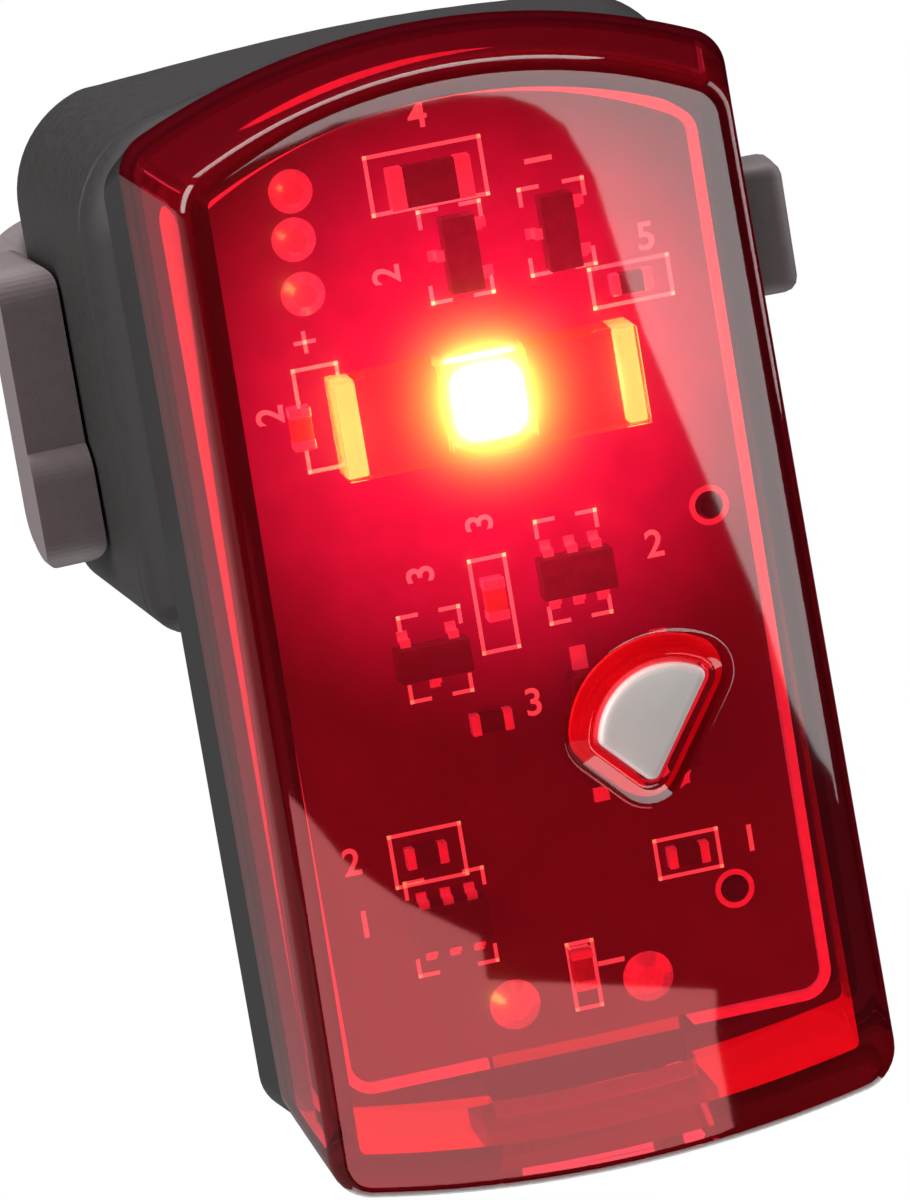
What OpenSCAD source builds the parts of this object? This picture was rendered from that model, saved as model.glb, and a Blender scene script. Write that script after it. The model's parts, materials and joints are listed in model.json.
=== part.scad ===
// Bike rear light: a red lens on a black housing, slid onto a strap bracket for a seat post.
// Millimetres. The origin is on the seat post's axis at mid-height of the saddle pad.
// The lens faces -Y, +X is to its right as seen from the front, and +Z is up along the post.

/* [Seat post and saddle] */
// Diameter of the seat post that the bracket holds
post_d = 25.4; // [23:0.1:27]
// Thickness of the rubber pad in the saddle
pad_t = 1.2; // [0.8:0.1:1.8]
// Height of the rubber pad
pad_h = 16.6; // [12:0.2:17]
// Half of the saddle's wrap round the post, in degrees
saddle_half_angle = 58; // [56:1:62]

/* [Mount block] */
// Depth of the block from its front face to its rear lands
block_depth = 15.9; // [14:0.1:20]
// Width of the block at its front face
block_front_w = 25.4; // [23:0.1:28]
// Width of the block at its rear lands
block_rear_w = 28; // [27:0.1:30]
// Height of the block's flanks, between the corners of its outline
block_flank_h = 19.2; // [18:0.1:22]
// Height of the block's lower corners above the middle of the pad
block_foot_z = -11; // [-12:0.1:-9.5]
// Rise of the block's arched top
block_top_rise = 2.2; // [1.5:0.1:4]
// Sag of the block's underside
block_foot_sag = 0.4; // [0.2:0.1:1]
// Radius of the block's upper corners
block_corner_r = 4.4; // [3:0.1:5.5]
// Radius of the block's lower corners
block_foot_r = 1.6; // [1:0.1:2.8]
// Rounding of the block's front and rear edges
block_edge_r = 1.5; // [0.8:0.1:1.8]

/* [Strap] */
// Thickness of the rubber strap
strap_t = 1.5; // [1.2:0.1:2]
// Height of the strap
strap_h = 5.1; // [4.5:0.1:7]
// Height of the strap's middle above the middle of the pad
strap_z = -0.8; // [-2:0.1:0.5]
// Gap between the strap and the post
post_gap = 0.15; // [0.1:0.05:0.3]
// Gap between the strap and the block's flank
flank_gap = 0.15; // [0.1:0.05:0.3]
// Length of the strap along the right flank
ear_len = 8.4; // [7:0.2:11]
// Thickness of the lug at the strap's end
lug_t = 2.6; // [2:0.1:3.2]
// Length of the lug along the flank
lug_len = 3.5; // [2:0.1:4]
// How far the lug stands above and below the strap
lug_over = 0.15; // [0.1:0.05:0.3]
// Radius of the lug's corners
lug_corner_r = 1; // [0.5:0.1:1.2]
// Diameter of the bead that anchors the strap in the right flank
bead_d = 2.4; // [2:0.1:3]
// Thickness of the neck that joins the bead to the strap
bead_neck_t = 1.2; // [0.9:0.1:1.5]
// Gap between the bead and its groove
bead_gap = 0.1; // [0.05:0.05:0.2]

/* [Pull tab] */
// Height of the pull tab
tab_h = 12.2; // [10:0.2:14]
// How far the pull tab stands above the strap
tab_over = 1.6; // [0.5:0.1:2]
// Length of the pull tab along the left flank
tab_len = 7.6; // [7:0.2:10]
// Thickness of the pull tab at its free end
tab_tip_t = 2.5; // [2:0.1:3]
// Thickness of the pull tab near its bend
tab_root_t = 1.7; // [1.6:0.1:2.4]
// Height of the finger pad at the tab's lower end
grip_h = 5; // [3:0.2:6]
// How far the finger pad reaches past the tab's free end
grip_reach = 0.8; // [0.5:0.1:1.6]
// Radius of the tab's corners
tab_corner_r = 1.4; // [0.6:0.1:1.8]
// Radius of the tab's long edges
tab_edge_r = 0.8; // [0.3:0.1:0.8]
// Clear length between the bend's axis and the tab's plate
bend_len = 1; // [0.8:0.1:1.5]
// Gap between the tab's bend and the end of the strap
bend_gap = 0.15; // [0.1:0.05:0.3]
// Length of the hook on the left flank, along the flank
hook_len = 1.6; // [1.2:0.1:2.2]
// Height of the hook
hook_h = 2.4; // [1.8:0.1:3]
// How far the hook stands out of the flank
hook_out = 0.9; // [0.6:0.05:1]
// Distance of the hook's middle from the block's rear lands
hook_back = 5; // [4.2:0.1:5.6]
// Gap round the hook in the tab's pocket
hook_gap = 0.25; // [0.2:0.05:0.4]

/* [Lens] */
// Height of the lens's front face between its corners
lens_h = 39.4; // [37:0.1:42]
// Width of the front face at its upper corners
lens_top_w = 21.2; // [20.5:0.1:24]
// Width of the front face at its lower corners
lens_bottom_w = 22.5; // [21.5:0.1:25]
// Rise of the arched top edge
lens_top_rise = 2.8; // [2:0.1:4]
// Sag of the arched bottom edge
lens_bottom_sag = 1.3; // [0.8:0.1:2]
// Depth of the lens from its front face to its rear edge
lens_depth = 6.2; // [6.2:0.1:8]
// How much wider each side is at the rear, at the upper corners
lens_flare_top = 1.3; // [0.5:0.1:2]
// How much wider each side is at the rear, at the lower corners
lens_flare_bottom = 0.7; // [0.5:0.1:2]
// How much higher the rear edge is at the top
lens_top_lift = 1; // [0.2:0.05:1.5]
// How much higher the rear edge is at the bottom
lens_foot_lift = 1.6; // [0.5:0.1:1.8]
// Radius of the lens's corners
lens_corner_r = 1.7; // [1:0.1:2.5]
// Rounding of the front edge
lens_edge_r = 0.4; // [0.2:0.1:0.8]
// Thickness of the lens's front
lens_front_t = 1.2; // [1:0.1:1.4]
// Thickness of the lens's walls
lens_wall_t = 1.4; // [1.2:0.1:1.6]

/* [Rear housing] */
// Height of the lens's middle above the middle of the pad
lamp_z = -11.5; // [-13:0.1:-10]
// Depth of the housing's rim behind the lens
rim_depth = 2.5; // [2:0.1:3.5]
// How much wider the rim is on each side at its rear
rim_flare = 0.4; // [0.1:0.05:0.6]
// How much lower the rim is at its rear
rim_drop = 1; // [0.6:0.1:1.4]
// How far the housing's back is set in from the rim
back_inset = 3; // [2.4:0.1:3.6]
// Thickness of the housing's back
back_t = 1.3; // [1.2:0.1:1.4]
// Gap between the housing's back and the block
dock_gap = 0.6; // [0.3:0.05:0.8]
// Width of the seal
seal_w = 0.6; // [0.4:0.05:0.7]
// Depth of the seal's groove
seal_depth = 0.6; // [0.4:0.05:0.8]

/* [Slide foot] */
// Width of the foot's neck
foot_neck_w = 5; // [4:0.1:6]
// Width of the foot's head
foot_head_w = 8.4; // [7.5:0.1:10]
// Thickness of the foot's head
foot_head_t = 1.2; // [1:0.1:1.5]
// Height of the foot
foot_h = 15; // [12:0.2:16]
// Thickness of the block's lips in front of the foot's head
lip_t = 0.9; // [0.8:0.1:1.4]
// Gap between the foot and its slot
foot_gap = 0.15; // [0.1:0.05:0.25]
// Height of the slot's floor above the block's lower corners
slot_floor = 2.4; // [1.8:0.1:3]

/* [Circuit board] */
// Gap between the board's frame and the lens's side walls
board_side_gap = 0.2; // [0.15:0.01:0.4]
// Gap between the board's frame and the lens's lower wall, at its corners
board_foot_gap = 0.62; // [0.6:0.01:1]
// Gap between the board's frame and the lens's upper wall, at its corners
board_top_gap = 0.26; // [0.25:0.01:0.6]
// How much less the board's top rises than the lens's
board_rise_less = 0.2; // [0.1:0.05:0.5]
// Thickness of the board
board_t = 1; // [0.8:0.1:1.2]
// Width of the frame round the board
frame_w = 0.4; // [0.3:0.05:0.45]
// Width of the ledge that carries the board
ledge_w = 0.6; // [0.4:0.1:0.7]
// Depth of the frame in front of the board
frame_front = 0.3; // [0.2:0.05:0.5]
// Depth of the ledge behind the board
ledge_t = 1; // [0.8:0.1:1.2]
// Gap between the board and the frame
board_gap = 0.05; // [0.05:0.05:0.1]
// Diameter of the two locating pegs
peg_d = 0.9; // [0.7:0.05:1]
// Gap round a peg in its hole
peg_gap = 0.1; // [0.05:0.05:0.15]
// Diameter of the posts that carry the board and its frame
post_leg_d = 1.4; // [1.1:0.1:1.4]

/* [LED and optic] */
// Height of the LED on the board's plan
led_up = 9.2; // [7:0.1:10]
// Width and height of the LED package
led_size = 3; // [2.5:0.1:3.2]
// Thickness of the LED package
led_t = 0.9; // [0.7:0.05:1]
// Width of the glowing die's bowl
die_d = 2.4; // [1.8:0.1:2.4]
// Width of the clear optic
optic_w = 11.8; // [10:0.1:13]
// Height of the clear optic
optic_h = 3.8; // [3.6:0.1:4.5]
// Thickness of the clear optic
optic_t = 2.3; // [1.8:0.1:2.3]
// Gap round the LED in the optic's pocket
optic_gap = 0.15; // [0.1:0.05:0.2]

/* [Key and switch] */
// Radius of the key's round side
key_r = 2.86; // [2.5:0.02:3.2]
// Distance of the key's middle from the lens's centre line
key_x = 4.4; // [4:0.1:5]
// Height of the key's middle on the board's plan
key_up = -4.3; // [-5:0.1:-3.5]
// Radius of the key's corners
key_corner_r = 0.35; // [0.2:0.05:0.5]
// How far the key stands out of the lens's front
key_out = 0.75; // [0.6:0.05:1]
// Gap between the key and its hole
key_gap = 0.12; // [0.08:0.02:0.2]
// How far the key can be pressed in
key_travel = 0.25; // [0.15:0.05:0.25]
// Width of the collar round the key
collar_w = 1; // [0.6:0.1:1.4]
// Height of the collar
collar_h = 0.45; // [0.3:0.05:0.5]
// Width of the flange that keeps the key in
flange_w = 0.6; // [0.4:0.1:0.8]
// Thickness of the flange
flange_t = 0.45; // [0.35:0.05:0.45]
// Gap between the flange and the lens
flange_gap = 0.06; // [0.04:0.02:0.1]
// Diameter of the key's stem
stem_d = 1.6; // [1.2:0.1:2]
// Width and height of the switch's body
switch_size = 4.4; // [4:0.1:4.6]
// Thickness of the switch's body
switch_t = 1.5; // [1.3:0.05:1.5]
// Diameter of the switch's plunger
plunger_d = 1.8; // [1.4:0.1:2.2]
// How far the plunger stands out of the switch
plunger_out = 0.3; // [0.3:0.05:0.4]
// Gap round the plunger
plunger_gap = 0.08; // [0.05:0.01:0.1]
// Length of the key's stem behind the flange
stem_len = 0.26; // [0.26:0.01:0.4]
// Gap between the key's stem and the plunger
touch_gap = 0.03; // [0.02:0.01:0.05]

/* [Battery] */
// Gap between the battery and the upper peg's post
cell_side_gap = 0.4; // [0.2:0.05:1]
// Height of the battery's upper end on the board's plan
cell_top = 12; // [10:0.1:12.5]
// Thickness of the battery
cell_t = 3.3; // [2.8:0.1:3.3]
// Height of the battery's lower end on the board's plan
cell_foot = -9.5; // [-10:0.1:-8.5]
// Gap between the battery and the housing's back
cell_back_gap = 0.3; // [0.2:0.05:0.6]
// Thickness of the foam pad between the board and the battery
foam_t = 0.5; // [0.4:0.05:0.5]
// Width of a battery tab
cell_tab_w = 0.9; // [0.6:0.1:1]
// Thickness of a battery tab
cell_tab_t = 0.2; // [0.15:0.05:0.3]

/* [Charging socket] */
// Width of the socket's shell
usb_w = 7.5; // [7.2:0.1:7.6]
// Thickness of the socket's shell
usb_t = 2.45; // [2.4:0.05:2.6]
// Depth of the socket
usb_len = 5; // [4.6:0.1:5.4]
// Thickness of the shell's sheet
usb_sheet = 0.25; // [0.2:0.05:0.3]
// How far the socket stands below the board
usb_out = 0.8; // [0.5:0.1:0.9]
// Gap round the socket's mouth in the walls
mouth_gap = 0.35; // [0.3:0.05:0.4]
// Thickness of the rubber cover
cover_t = 0.8; // [0.6:0.05:0.9]
// Gap between the cover and the lens
cover_gap = 0.15; // [0.1:0.05:0.2]
// How far the cover's plug enters the mouth
plug_in = 0.6; // [0.4:0.05:0.6]
// Gap between the cover's plug and the mouth
plug_gap = 0.4; // [0.35:0.05:0.5]
// Diameter of the cover's hinge bar
bar_d = 0.9; // [0.8:0.05:1]
// Gap round the hinge bar in its ears
bar_gap = 0.06; // [0.05:0.01:0.1]
// Thickness of each hinge ear
ear_t = 0.9; // [0.7:0.1:1]
// Width of the cover's neck between the ears
cover_neck_w = 5; // [4:0.1:6]

/* [Hidden] */

// Overlap that makes a cut run through a face
cut = 0.5;
// Thickness of a slice in a hull
slice = 0.01;
// Smoothness of outline corners, of long arcs and of bores
corner_fn = 40;
arc_fn = 240;
$fn = 48;

post_r = post_d / 2;
saddle_r = post_r + pad_t;
block_rear_y = -saddle_r * cos(saddle_half_angle);
block_front_y = block_rear_y - block_depth;
block_top_z = block_foot_z + block_flank_h + block_top_rise;
flank_angle = atan((block_rear_w - block_front_w) / 2 / block_depth);

// Depths from the lens's front face: key flange, board, battery, and the housing's back
flange_y = lens_front_t + flange_gap;
plunger_y = flange_y + flange_t + stem_len + touch_gap;
board_y = plunger_y + plunger_out + switch_t;
board_back_y = board_y + board_t;
cell_y = board_back_y + foam_t;
floor_y = cell_y + cell_t + cell_back_gap;
back_y = floor_y + back_t;
lamp_y = block_front_y - dock_gap - back_y;
seal_in = (lens_wall_t - seal_w) / 2;

// The strap runs from each flank on a tangent to the loop round the post
loop_r = post_r + post_gap + strap_t / 2;
bend_out = flank_gap + strap_t / 2;
bend_x = block_rear_w / 2 + bend_out * cos(flank_angle);
bend_y = block_rear_y - bend_out * sin(flank_angle);
bend_far = norm([bend_x, bend_y]);
run_start_angle = atan2(bend_y, bend_x) + acos(loop_r / bend_far);
// Steps of the loop round the post and of the bend
loop_steps = 60;
bend_steps = 4;

strap_top_z = strap_z + strap_h / 2;
strap_foot_z = strap_z - strap_h / 2;
// Middle of the bead on the right flank: out of the flank, and from the rear lands
bead_x = -bead_d / 2 - bead_neck_t;
bead_y = -ear_len + bead_d;
// Steps of the rounding on the block's edges
edge_steps = 3;
tab_top_z = strap_top_z + tab_over;
tab_foot_z = tab_top_z - tab_h;
tab_thick = max(tab_tip_t, tab_root_t);

// The board fills the lens, less its walls, the frame and the gaps
board_w = min(top_w(board_y), bottom_w(board_y)) - 2 * (lens_wall_t + frame_w + board_side_gap);
board_foot_z = foot_z(board_y) + lens_wall_t + frame_w + board_foot_gap;
board_top_z = head_z(board_y) - lens_wall_t - frame_w - board_top_gap;
board_h = board_top_z - board_foot_z;
board_top_rise = lens_top_rise - board_rise_less;
frame_back_y = board_back_y + ledge_t;
// Height and foot of the plan on which the heights of the board's main parts are stated
plan_h = 34.2;
plan_foot = -16.2;
// Sag of the board's lower edge, radius of its corners, and gap between a peg's post and the ledge
board_foot_sag = 0.05;
board_corner_r = 0.8;
peg_side_gap = 0.1;
peg_in = ledge_w + post_leg_d / 2 + peg_side_gap;
peg_x = board_w / 2 - peg_in;
peg_places = [[peg_x, up_board(0.57)], [peg_x - peg_in, up_board(0.132)]];
leg_x = board_w / 2 - ledge_w;
leg_low_z = up_board(0.094);
leg_high_z = up_board(0.912);
leg_places = [[-leg_x, leg_low_z], [leg_x, leg_low_z], [-leg_x, leg_high_z], [leg_x, leg_high_z]];

led_z = plan_z(led_up);
key_z = plan_z(key_up);
// Middle of the switch and of the key's stem, under the middle of the key's face
switch_at = [key_x - 0.28 * key_r, key_z + 0.07 * key_r];
// Corners of the key, as parts of its radius
key_tip = [-0.34, -0.6];
key_left = [-1.15, 0.27];
key_right = [0.75, 0.97];
// Gap round the die in the LED's bowl
die_gap = 0.05;

cell_w = 2 * (peg_x - post_leg_d / 2 - cell_side_gap);
cell_foot_z = plan_z(cell_foot);
cell_top_z = plan_z(cell_top);
// Edge of the foam pad from the battery's, and space between the battery's tabs
foam_margin = 1;
cell_tab_space = 0.3;
pad_places = [for (p = [[-0.316, 1.006], [-0.326, 0.953], [-0.326, 0.892]]) on_board(p)];
shield_places = [for (p = [[-0.142, 0.053], [0.142, 0.053]]) on_board(p)];
pad_solder_d = 1.7;
shield_solder_d = 2;
solder_h = 0.5;

usb_foot_z = board_foot_z - usb_out;
usb_mid_y = board_back_y + usb_t / 2;
mouth_front_y = board_back_y - mouth_gap;
mouth_back_y = board_back_y + usb_t + mouth_gap;
mouth_w = usb_w + 2 * mouth_gap;
// Overlap of the cover in front of and behind the mouth, wall of its ears, and gaps beside them
cover_margin = 0.6;
cover_lap = 0.4;
ear_wall = 0.3;
ear_front_gap = 0.25;
ear_side_gap = 0.15;
cover_front_y = mouth_front_y - cover_margin;
cover_top_z = foot_z(cover_front_y) - lens_bottom_sag - cover_gap;
bar_z = cover_top_z - cover_t / 2;
ear_r = bar_d / 2 + ear_wall;
cover_back_y = mouth_back_y + cover_lap;
bar_y = cover_back_y + ear_front_gap + ear_r;
ear_x = cover_neck_w / 2 + ear_side_gap;

// A place on the board from shares of its width and height, and a height from its share
function on_board(p) = [p[0] * board_w, up_board(p[1])];
function up_board(share) = board_foot_z + share * board_h;
// A height on the board from one on its plan
function plan_z(z) = up_board((z - plan_foot) / plan_h);

// Height of the lens's lower and upper corners, and its width, at a distance y behind its front face
function foot_z(y) = -lens_h / 2 + lens_foot_lift * y / lens_depth;
function head_z(y) = lens_h / 2 + lens_top_lift * y / lens_depth;
function top_w(y) = lens_top_w + 2 * lens_flare_top * y / lens_depth;
function bottom_w(y) = lens_bottom_w + 2 * lens_flare_bottom * y / lens_depth;

// Width of the block at a place along Y
function block_w(y) = block_front_w + (block_rear_w - block_front_w) * (y - block_front_y) / block_depth;

// Direction at an angle, its angle round the post at a step of the loop, and a point's mirror image
function ray(a) = [cos(a), sin(a)];
function loop_angle(k) = run_start_angle + (180 - 2 * run_start_angle) * k / loop_steps;
function flip(p) = [-p[0], p[1]];

// Radius of an arc of the given rise over a chord
function arc_r(chord, rise) = (chord * chord / 4 + rise * rise) / (2 * rise);

// The space under an arc whose chord has its middle at the origin, and down to depth below the chord
module under_arc(chord, rise, depth) {
  r = arc_r(chord, rise);
  translate([0, rise - r]) circle(r, $fn = arc_fn);
  translate([-r, -depth]) square([2 * r, depth]);
}

// Flat outline with straight sides, an arched top, an arched bottom and round corners
module arched(top, bottom, head, foot, rise, sag, r) {
  lean = (top - bottom) / 2 / (head - foot);
  high = top / 2 + lean * rise;
  low = bottom / 2 - lean * sag;
  offset(r = r, $fn = corner_fn) offset(delta = -r) intersection() {
    polygon([[-low, foot - sag], [low, foot - sag], [high, head + rise], [-high, head + rise]]);
    translate([0, head]) under_arc(top, rise, head - foot + sag);
    translate([0, foot]) mirror([0, 1]) under_arc(bottom, sag, head - foot + rise);
  }
}

// A slab from y to y + t with the outline of its children, drawn in X and Z
module slab(y, t) {
  translate([0, y + t, 0]) rotate([90, 0, 0]) linear_extrude(height = t) children();
}

// A flat rectangle between two corners, with round corners
module rounded(low, high, r) {
  offset(r = r, $fn = corner_fn) offset(delta = -r) translate(low) square(high - low);
}

// A round bar along Y
module rod_y(x, z, y0, y1, d) {
  translate([x, y1, z]) rotate([90, 0, 0]) cylinder(d = d, h = y1 - y0);
}

// A box from one corner to the opposite one
module box(low, high) {
  translate(low) cube(high - low);
}

// The lens's outline at a distance y behind its front face, drawn in by inset
module lens_outline(y, inset) {
  offset(delta = -inset)
    arched(top_w(y), bottom_w(y), head_z(y), foot_z(y), lens_top_rise, lens_bottom_sag, lens_corner_r);
}

// The outline of the housing's rim at its rear
module rim_outline() {
  arched(top_w(lens_depth) + 2 * rim_flare, bottom_w(lens_depth) + 2 * rim_flare,
    head_z(lens_depth) - rim_drop, foot_z(lens_depth), lens_top_rise, lens_bottom_sag, lens_corner_r);
}

// The board's outline, grown by grow
module board_outline(grow) {
  offset(delta = grow) arched(board_w, board_w, board_top_z, board_foot_z, board_top_rise,
    board_foot_sag, board_corner_r);
}

// The block's outline at a place along Y, drawn in by inset
module block_outline(y, inset) {
  half = block_w(y) / 2;
  offset(delta = -inset) union() {
    arched(2 * half, 2 * half, block_foot_z + block_flank_h, block_foot_z,
      block_top_rise, block_foot_sag, block_corner_r);
    rounded([-half, block_foot_z], [half, block_foot_z + block_flank_h / 2], block_foot_r);
  }
}

// The key's outline, grown by grow: a disc cut by two straight sides
module key_outline(grow) {
  far = 2;
  translate([key_x, key_z]) offset(r = key_corner_r + grow, $fn = corner_fn) offset(delta = -key_corner_r)
    intersection() {
      circle(key_r, $fn = 96);
      polygon(key_r * [key_tip, key_right, [0, far], [-far, far], key_left]);
    }
}

// Places its children in the lamp's own frame: y from the lens's front face, z from its middle
module in_lamp() {
  translate([0, lamp_y, lamp_z]) children();
}

// Places its children on a flank: x out of the flank, y towards the rear from the rear lands
module on_flank(side) {
  mirror([side < 0 ? 1 : 0, 0, 0]) translate([block_rear_w / 2, block_rear_y, 0])
    rotate([0, 0, -flank_angle]) children();
}

// The mouth of the charging socket, cut through lens and housing
module usb_mouth() {
  box([-mouth_w / 2, mouth_front_y, foot_z(0) - lens_bottom_sag - cut],
    [mouth_w / 2, mouth_back_y, usb_foot_z + cut]);
}

module lens() color([0.85, 0.05, 0.1, 0.6]) in_lamp() difference() {
  union() {
    hull() {
      slab(0, slice) lens_outline(0, lens_edge_r);
      slab(lens_edge_r, slice) lens_outline(lens_edge_r, 0);
      slab(lens_depth - slice, slice) lens_outline(lens_depth, 0);
    }
    slab(-collar_h, collar_h + cut) key_outline(key_gap + collar_w);
  }
  hull() {
    slab(lens_front_t, slice) lens_outline(lens_front_t, lens_wall_t);
    slab(lens_depth, cut) lens_outline(lens_depth, lens_wall_t);
  }
  slab(-collar_h - cut, lens_front_t + collar_h + 2 * cut) key_outline(key_gap);
  usb_mouth();
}

module housing_shell() difference() {
  hull() {
    slab(lens_depth, slice) lens_outline(lens_depth, 0);
    slab(lens_depth + rim_depth, slice) rim_outline();
    slab(back_y - slice, slice) lens_outline(lens_depth, back_inset);
  }
  hull() {
    slab(lens_depth - cut, rim_depth - back_t + cut) lens_outline(lens_depth, lens_wall_t);
    slab(floor_y - slice, slice) lens_outline(lens_depth, back_inset + back_t);
  }
}

module hinge_ears() {
  for (side = [-1, 1]) {
    x0 = side > 0 ? ear_x : -ear_x - ear_t;
    translate([x0, bar_y, bar_z]) rotate([0, 90, 0]) cylinder(r = ear_r, h = ear_t);
    box([x0, bar_y - ear_r, bar_z], [x0 + ear_t, bar_y + ear_r, foot_z(lens_depth) + lens_wall_t]);
  }
}

module slide_foot() {
  neck_y = block_front_y - lamp_y + lip_t + foot_gap;
  foot_z0 = block_foot_z + slot_floor - lamp_z;
  box([-foot_neck_w / 2, floor_y, foot_z0], [foot_neck_w / 2, neck_y + foot_head_t, foot_z0 + foot_h]);
  box([-foot_head_w / 2, neck_y, foot_z0], [foot_head_w / 2, neck_y + foot_head_t, foot_z0 + foot_h]);
}

module rear_housing() color([0.1, 0.1, 0.11]) in_lamp() difference() {
  union() {
    housing_shell();
    slide_foot();
    hinge_ears();
    for (p = leg_places) rod_y(p[0], p[1], frame_back_y, floor_y, post_leg_d);
    for (p = peg_places) {
      rod_y(p[0], p[1], board_back_y, floor_y + cut, post_leg_d);
      rod_y(p[0], p[1], board_y - frame_front, floor_y, peg_d);
    }
  }
  slab(lens_depth - cut, seal_depth + cut) difference() {
    lens_outline(lens_depth, seal_in);
    lens_outline(lens_depth, seal_in + seal_w);
  }
  usb_mouth();
  translate([-ear_x - ear_t - cut, bar_y, bar_z]) rotate([0, 90, 0])
    cylinder(d = bar_d + 2 * bar_gap, h = 2 * (ear_x + ear_t + cut));
}

module housing_seal() color([0.2, 0.2, 0.2]) in_lamp() difference() {
  slab(lens_depth, seal_depth) difference() {
    lens_outline(lens_depth, seal_in);
    lens_outline(lens_depth, seal_in + seal_w);
  }
  usb_mouth();
}

module board_frame() color([0.95, 0.75, 0.75]) in_lamp() difference() {
  slab(board_y - frame_front, frame_back_y - board_y + frame_front) board_outline(frame_w);
  slab(board_y - frame_front - cut, board_t + frame_front + cut) board_outline(board_gap);
  slab(board_y, frame_back_y) board_outline(-ledge_w);
  box([-mouth_w / 2, board_y - frame_front - cut, board_foot_z - frame_w - cut],
    [mouth_w / 2, frame_back_y + cut, board_foot_z + ledge_w + cut]);
}

module circuit_board() color([0.25, 0.03, 0.06]) in_lamp() difference() {
  slab(board_y, board_t) board_outline(0);
  for (p = peg_places) rod_y(p[0], p[1], board_y - cut, board_back_y + cut, peg_d + 2 * peg_gap);
}

module led_package() color([0.95, 0.93, 0.85]) in_lamp() difference() {
  box([-led_size / 2, board_y - led_t, led_z - led_size / 2], [led_size / 2, board_y, led_z + led_size / 2]);
  rod_y(0, led_z, board_y - led_t - cut, board_y - led_t / 2, die_d);
}

module led_die() color([1, 0.9, 0.5]) in_lamp() {
  rod_y(0, led_z, board_y - led_t, board_y - led_t / 2, die_d - 2 * die_gap);
}

module led_optic() color([1, 0.9, 0.9, 0.5]) in_lamp() difference() {
  pocket = led_size / 2 + optic_gap;
  box([-optic_w / 2, board_y - optic_t, led_z - optic_h / 2], [optic_w / 2, board_y, led_z + optic_h / 2]);
  box([-pocket, board_y - led_t - optic_gap, led_z - pocket], [pocket, board_y + cut, led_z + pocket]);
}

// A two-ended chip lying on the board: its middle, length, width, thickness and turn
module chip(at, len, wide, t, turn) {
  translate([at[0], board_y - t, at[1]]) rotate([0, turn, 0])
    translate([-len / 2, 0, -wide / 2]) cube([len, t, wide]);
}

// Length and width of the large and the small chips, and the thickness of each kind
large_chip = [3.2, 1.6];
small_chip = [1.6, 0.8];
sense_t = 0.6;
resistor_t = 0.5;
capacitor_t = 0.8;
// Middle of each two-ended chip
sense_place = on_board([-0.037, 0.988]);
resistor_places = [for (p = [[0.337, 0.836], [-0.095, 0.38], [-0.274, 0.246], [0.263, 0.184]]) on_board(p)];
capacitor_places = [for (p = [[-0.379, 0.749], [-0.047, 0.518], [0.005, 0.082]]) on_board(p)];

module sense_resistor() color([0.12, 0.1, 0.1]) in_lamp() {
  chip(sense_place, large_chip[0], large_chip[1], sense_t, 0);
}

module chip_resistors() color([0.12, 0.1, 0.1]) in_lamp() {
  for (at = resistor_places) chip(at, small_chip[0], small_chip[1], resistor_t, 0);
}

module chip_capacitors() color([0.6, 0.45, 0.3]) in_lamp() {
  for (at = capacitor_places) chip(at, small_chip[0], small_chip[1], capacitor_t, 90);
}

// Three-lead and six-lead chips: middle of each, and turn of the three-lead ones
transistor_places = [for (p = [[0.205, 0.909], [0, 0.906], [-0.195, 0.465]]) on_board(p)];
transistor_turns = [90, 90, 0];
driver_places = [for (p = [[0.126, 0.529], [-0.247, 0.164]]) on_board(p)];
// Pitch, width, thickness, reach and knee of their leads
sot_pitch = 0.95;
lead_w = 0.4;
lead_t = 0.14;
lead_reach = 0.55;
lead_knee = 0.3;
// Length, widths, lift and thickness of their bodies
sot_len = 2.9;
sot_narrow = 1.3;
sot_wide = 1.6;
sot_lift = 0.1;
sot_t = 1;

module transistors() color([0.08, 0.08, 0.09]) in_lamp() translate([0, -sot_lift, 0]) {
  for (k = [0 : 2]) chip(transistor_places[k], sot_len, sot_narrow, sot_t, transistor_turns[k]);
}

module driver_chips() color([0.08, 0.08, 0.09]) in_lamp() translate([0, -sot_lift, 0]) {
  for (p = driver_places) chip(p, sot_len, sot_wide, sot_t, 0);
}

// One bent lead at x along the chip, on the side that side names, of a body that is wide across
module chip_lead(x, side, wide) {
  z0 = wide / 2;
  mid_y = -sot_lift - sot_t / 2;
  mirror([0, 0, side < 0 ? 1 : 0]) {
    box([x - lead_w / 2, mid_y, z0], [x + lead_w / 2, mid_y + lead_t, z0 + lead_knee]);
    box([x - lead_w / 2, mid_y, z0 + lead_knee - lead_t], [x + lead_w / 2, 0, z0 + lead_knee]);
    box([x - lead_w / 2, -lead_t, z0 + lead_knee - lead_t], [x + lead_w / 2, 0, z0 + lead_reach]);
  }
}

module chip_leads() color([0.8, 0.78, 0.74]) in_lamp() {
  for (k = [0 : 2])
    translate([transistor_places[k][0], board_y, transistor_places[k][1]])
      rotate([0, transistor_turns[k], 0]) {
        chip_lead(-sot_pitch, 1, sot_narrow);
        chip_lead(sot_pitch, 1, sot_narrow);
        chip_lead(0, -1, sot_narrow);
      }
  for (p = driver_places) translate([p[0], board_y, p[1]])
    for (x = [-sot_pitch, 0, sot_pitch]) {
      chip_lead(x, 1, sot_wide);
      chip_lead(x, -1, sot_wide);
    }
}

// A cone of solder on the board, half as wide at its top
module solder_cone(at, d, h) {
  translate([at[0], board_y, at[1]]) rotate([90, 0, 0]) cylinder(d1 = d, d2 = d / 2, h = h);
}

module solder_joints() color([0.85, 0.82, 0.78]) in_lamp() {
  for (p = pad_places) solder_cone(p, pad_solder_d, solder_h);
  for (p = shield_places) solder_cone(p, shield_solder_d, solder_h);
}

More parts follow.
